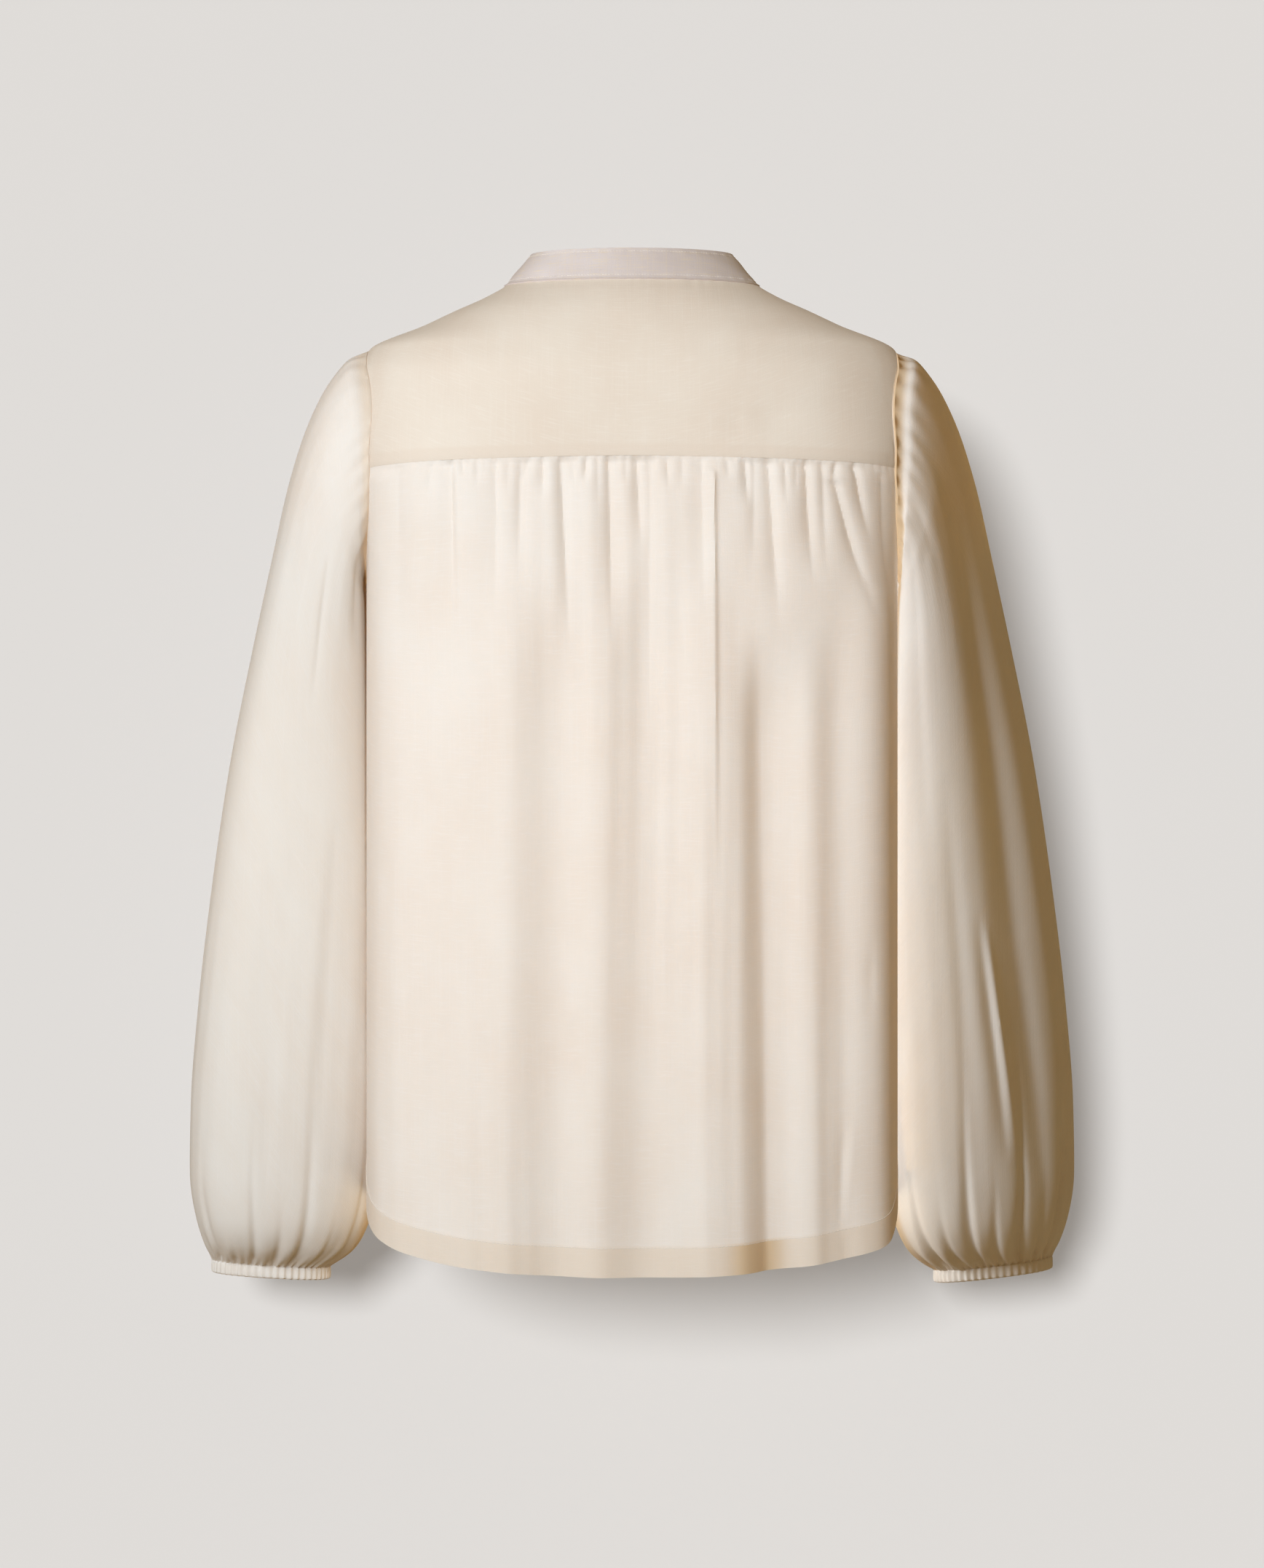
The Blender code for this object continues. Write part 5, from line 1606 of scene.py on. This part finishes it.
class BLOUSE_OT_stage(bpy.types.Operator):
    """Set the camera behind the blouse, the paper sweep, the floor and the soft lights"""

    bl_idname = "blouse.stage"
    bl_label = "Stage"

    def execute(self, context):
        stage = context.scene.blouse_stage
        view = context.scene.view_settings
        view.view_transform = "Standard"
        view.look = "None"
        context.scene.world = room(stage)
        data = bpy.data.cameras.new("Camera")
        data.lens = stage.lens
        data.sensor_width = SENSOR_WIDTH
        data.clip_end = VIEW_END
        camera = bpy.data.objects.new("Camera", data)
        context.collection.objects.link(camera)
        camera.location = (0.0, stage.distance, stage.height)
        camera.rotation_euler = (math.radians(90.0), 0.0, math.radians(180.0))
        context.scene.camera = camera
        pieces = [piece for piece in context.scene.objects if piece.type == "MESH"]
        right = [piece for piece in pieces if piece.name in ("Right_sleeve", "Right_cuff")]
        stand = [piece for piece in pieces if piece.name == "Collar"]
        others = [piece for piece in pieces if piece not in right + stand]
        cloth = light_group("All the blouse", pieces)
        by_window = light_group("Lit by the window", others)
        by_side = light_group("Lit by the side light", others + stand)
        sleeve = light_group("Lit by the sleeve's soft box", right)
        collar = light_group("Lit by the collar's soft box", stand)
        back = (0.0, -stage.wall_gap, stage.height)
        wall = stage_plane("Paper_sweep", back, paper_material(), upright=True)
        floor = stage_plane("Pale_floor", (0.0, 0.0, stage.floor), floor_material())
        paper = light_group("Lit by the far lamp", [wall])
        key = stage.key_colour
        warm = stage.glow_colour
        window = from_the_middle(stage.key_turn)
        outer = from_the_middle(stage.sleeve_turn)
        left = from_the_middle(22.0)
        beside = from_the_middle(62.0, -5.0, 1.8)
        front = from_the_middle(172.0, 12.0)
        to_front = (0.0, -1.0, 0.0)
        to_back = (0.0, 1.0, 0.0)
        in_body = (0.0, 0.02, -0.42)
        in_left = (0.235, -0.03, -0.38)
        in_right = (-0.205, -0.02, -0.47)
        lamps = [
            soft_box("Window_light", window, BOX_SIZE, stage.key_power, key, by_window),
            soft_box("Sleeve_light", outer, BOX_SIZE, stage.sleeve_power, key, sleeve, blocked_by=sleeve),
            soft_box("Collar_light", left, BOX_SIZE, stage.collar_power, key, collar),
            soft_box("Side_light", beside, (1.0, 1.4), stage.side_power, key, by_side),
            soft_box("Glow_in_body", in_body, (0.26, 0.5), stage.body_glow, warm, cloth, to_front),
            soft_box("Glow_in_left_sleeve", in_left, (0.05, 0.24), stage.left_glow, key, cloth, to_front),
            soft_box("Glow_in_right_sleeve", in_right, (0.02, 0.32), stage.right_glow, key, cloth, to_back),
            soft_box("Front_light", front, BOX_SIZE, stage.front_power, key, cloth),
        ]
        far = add_lamp("Far_lamp", "SUN", stage.far_power, FAR_LAMP_WAY, paper, cloth)
        far.data.angle = math.radians(FAR_LAMP_WIDTH)
        lamps.append(far)
        return {"FINISHED"}


# ---------------------------------------------------------------- settings and panel


class BlouseCloth(bpy.types.PropertyGroup):
    """Sizes and colours of the cloth"""

    fold_depth: FloatProperty(
        name="Fold depth",
        description="Share of the folds' full depth",
        default=1.0,
        min=0.0,
        max=1.5,
        subtype="FACTOR",
    )
    thickness: FloatProperty(
        name="Voile", description="Thickness of the single voile", default=0.00045, unit="LENGTH"
    )
    collar_thickness: FloatProperty(
        name="Collar", description="Thickness of the interlined collar", default=0.0011, unit="LENGTH"
    )
    band_thickness: FloatProperty(
        name="Band", description="Thickness of the folded button bands", default=0.0009, unit="LENGTH"
    )
    cream: StringProperty(name="Cream", description="The voile's main colour", default="#F7F3EB")
    warm: StringProperty(name="Warm", description="The voile's warmer patches", default="#F3EADE")
    pale: StringProperty(name="Pale", description="Slubs and threads that catch light", default="#FAF7F2")
    # Deeper colour for doubled cloth, also used as painted shade on the hem, along the right armhole and
    # under the arms.
    doubled_and_shade: StringProperty(name="Doubled", description="Where the cloth lies double", default="#E2CBA8")
    yoke: StringProperty(name="Yoke", description="The yoke's colour", default="#E9DAC8")
    yoke_pale: StringProperty(name="Yoke pale", description="The yoke's pale slubs", default="#EEE1D1")
    yoke_deep: StringProperty(name="Yoke deep", description="The yoke's deeper patches", default="#E4D1BD")
    collar: StringProperty(name="Collar colour", description="The collar's colour", default="#D9CBC4")
    collar_deep: StringProperty(
        name="Collar deep", description="The collar's deeper patches", default="#CBBAB1"
    )
    glow: StringProperty(name="Glow", description="Light that comes through the voile", default="#F3D6A2")
    thread: StringProperty(name="Thread", description="The sewing thread", default="#E9DDCE")


class BlouseButtons(bpy.types.PropertyGroup):
    """Colours of the shell buttons"""

    shell: StringProperty(name="Shell", description="The shell's pale layers", default="#EDE4D8")
    deep: StringProperty(name="Deep shell", description="The shell's deeper layers", default="#D9CBBB")


class BlouseStage(bpy.types.PropertyGroup):
    """The camera, the paper sweep, the floor and the lights"""

    distance: FloatProperty(
        name="Distance", description="From the camera to the blouse", default=3.0, unit="LENGTH"
    )
    height: FloatProperty(
        name="Height", description="The camera's height from the neck point", default=-0.357, unit="LENGTH"
    )
    lens: FloatProperty(name="Lens", description="Focal length", default=97.7, unit="CAMERA")
    wall_gap: FloatProperty(
        name="Sweep", description="From the blouse to the paper behind it", default=0.17, unit="LENGTH"
    )
    floor: FloatProperty(
        name="Floor", description="Height of the floor from the neck point", default=-1.1, unit="LENGTH"
    )
    key_turn: FloatProperty(name="Window's turn", description="Degrees from the camera", default=14.0)
    key_power: FloatProperty(
        name="Window", description="Power of the window light", default=57.0, unit="POWER"
    )
    sleeve_turn: FloatProperty(
        name="Sleeve light's turn", description="Degrees from the camera", default=58.0
    )
    sleeve_power: FloatProperty(
        name="Sleeve light", description="Power of the right sleeve's light", default=70.0, unit="POWER"
    )
    collar_power: FloatProperty(
        name="Collar light", description="Power of the collar's light", default=54.0, unit="POWER"
    )
    side_power: FloatProperty(
        name="Side", description="Power of the side light", default=8.5, unit="POWER"
    )
    front_power: FloatProperty(
        name="Front", description="Power of the front light", default=26.0, unit="POWER"
    )
    body_glow: FloatProperty(
        name="Glow in the body", description="Power of its lamp", default=0.95, unit="POWER"
    )
    left_glow: FloatProperty(
        name="Glow in the left sleeve", description="Power of its lamp", default=0.10, unit="POWER"
    )
    right_glow: FloatProperty(
        name="Glow in the right sleeve", description="Power of its lamp", default=0.05, unit="POWER"
    )
    far_power: FloatProperty(name="Far lamp", description="Strength of the paper's lamp", default=7.2)
    fill: FloatProperty(name="Room", description="Strength of the room's light", default=0.25)
    key_colour: StringProperty(name="Window colour", description="The window light", default="#E2F0FF")
    glow_colour: StringProperty(name="Glow colour", description="The body's lamp", default="#FFF4E0")
    room: StringProperty(name="Room colour", description="The room's light", default="#FFDFA6")
    backdrop: StringProperty(name="Backdrop", description="What shows past the paper", default="#E0DCD9")
    paper: StringProperty(name="Paper", description="Colour of the paper sweep", default="#7C7C7C")
    paper_glow: StringProperty(name="Paper glow", description="Its even brightness", default="#898684")


class BLOUSE_PT_panel(bpy.types.Panel):
    """Lists the blouse's sizes, colours and steps"""

    bl_idname = "BLOUSE_PT_panel"
    bl_label = "Mandarin collar blouse"
    bl_space_type = "VIEW_3D"
    bl_region_type = "UI"
    bl_category = "Blouse"

    def draw(self, context):
        """Draw the settings in a box for each group, then a button for each step."""
        for group in ("blouse_cloth", "blouse_buttons", "blouse_stage"):
            settings = getattr(context.scene, group)
            box = self.layout.box()
            for name in settings.__annotations__:
                box.prop(settings, name)
        for step in STEPS:
            self.layout.operator(step.bl_idname)


STEPS = (
    BLOUSE_OT_back_panel,
    BLOUSE_OT_yoke,
    BLOUSE_OT_fronts,
    BLOUSE_OT_collar,
    BLOUSE_OT_bands,
    BLOUSE_OT_sleeves,
    BLOUSE_OT_cuffs,
    BLOUSE_OT_buttons,
    BLOUSE_OT_stitches,
    BLOUSE_OT_stage,
)
CLASSES = (BlouseCloth, BlouseButtons, BlouseStage) + STEPS + (BLOUSE_PT_panel,)


def register():
    """Register the settings, the operators and the panel."""
    for kind in CLASSES:
        bpy.utils.register_class(kind)
    bpy.types.Scene.blouse_cloth = PointerProperty(type=BlouseCloth)
    bpy.types.Scene.blouse_buttons = PointerProperty(type=BlouseButtons)
    bpy.types.Scene.blouse_stage = PointerProperty(type=BlouseStage)


def unregister():
    """Take away what register added."""
    del bpy.types.Scene.blouse_cloth
    del bpy.types.Scene.blouse_buttons
    del bpy.types.Scene.blouse_stage
    for kind in reversed(CLASSES):
        bpy.utils.unregister_class(kind)


def main():
    """Build every piece in order."""
    register()
    bpy.ops.blouse.back_panel()
    bpy.ops.blouse.yoke()
    bpy.ops.blouse.fronts()
    bpy.ops.blouse.collar()
    bpy.ops.blouse.bands()
    bpy.ops.blouse.sleeves()
    bpy.ops.blouse.cuffs()
    bpy.ops.blouse.buttons()
    bpy.ops.blouse.stitches()
    bpy.ops.blouse.stage()


if __name__ == "__main__":
    main()
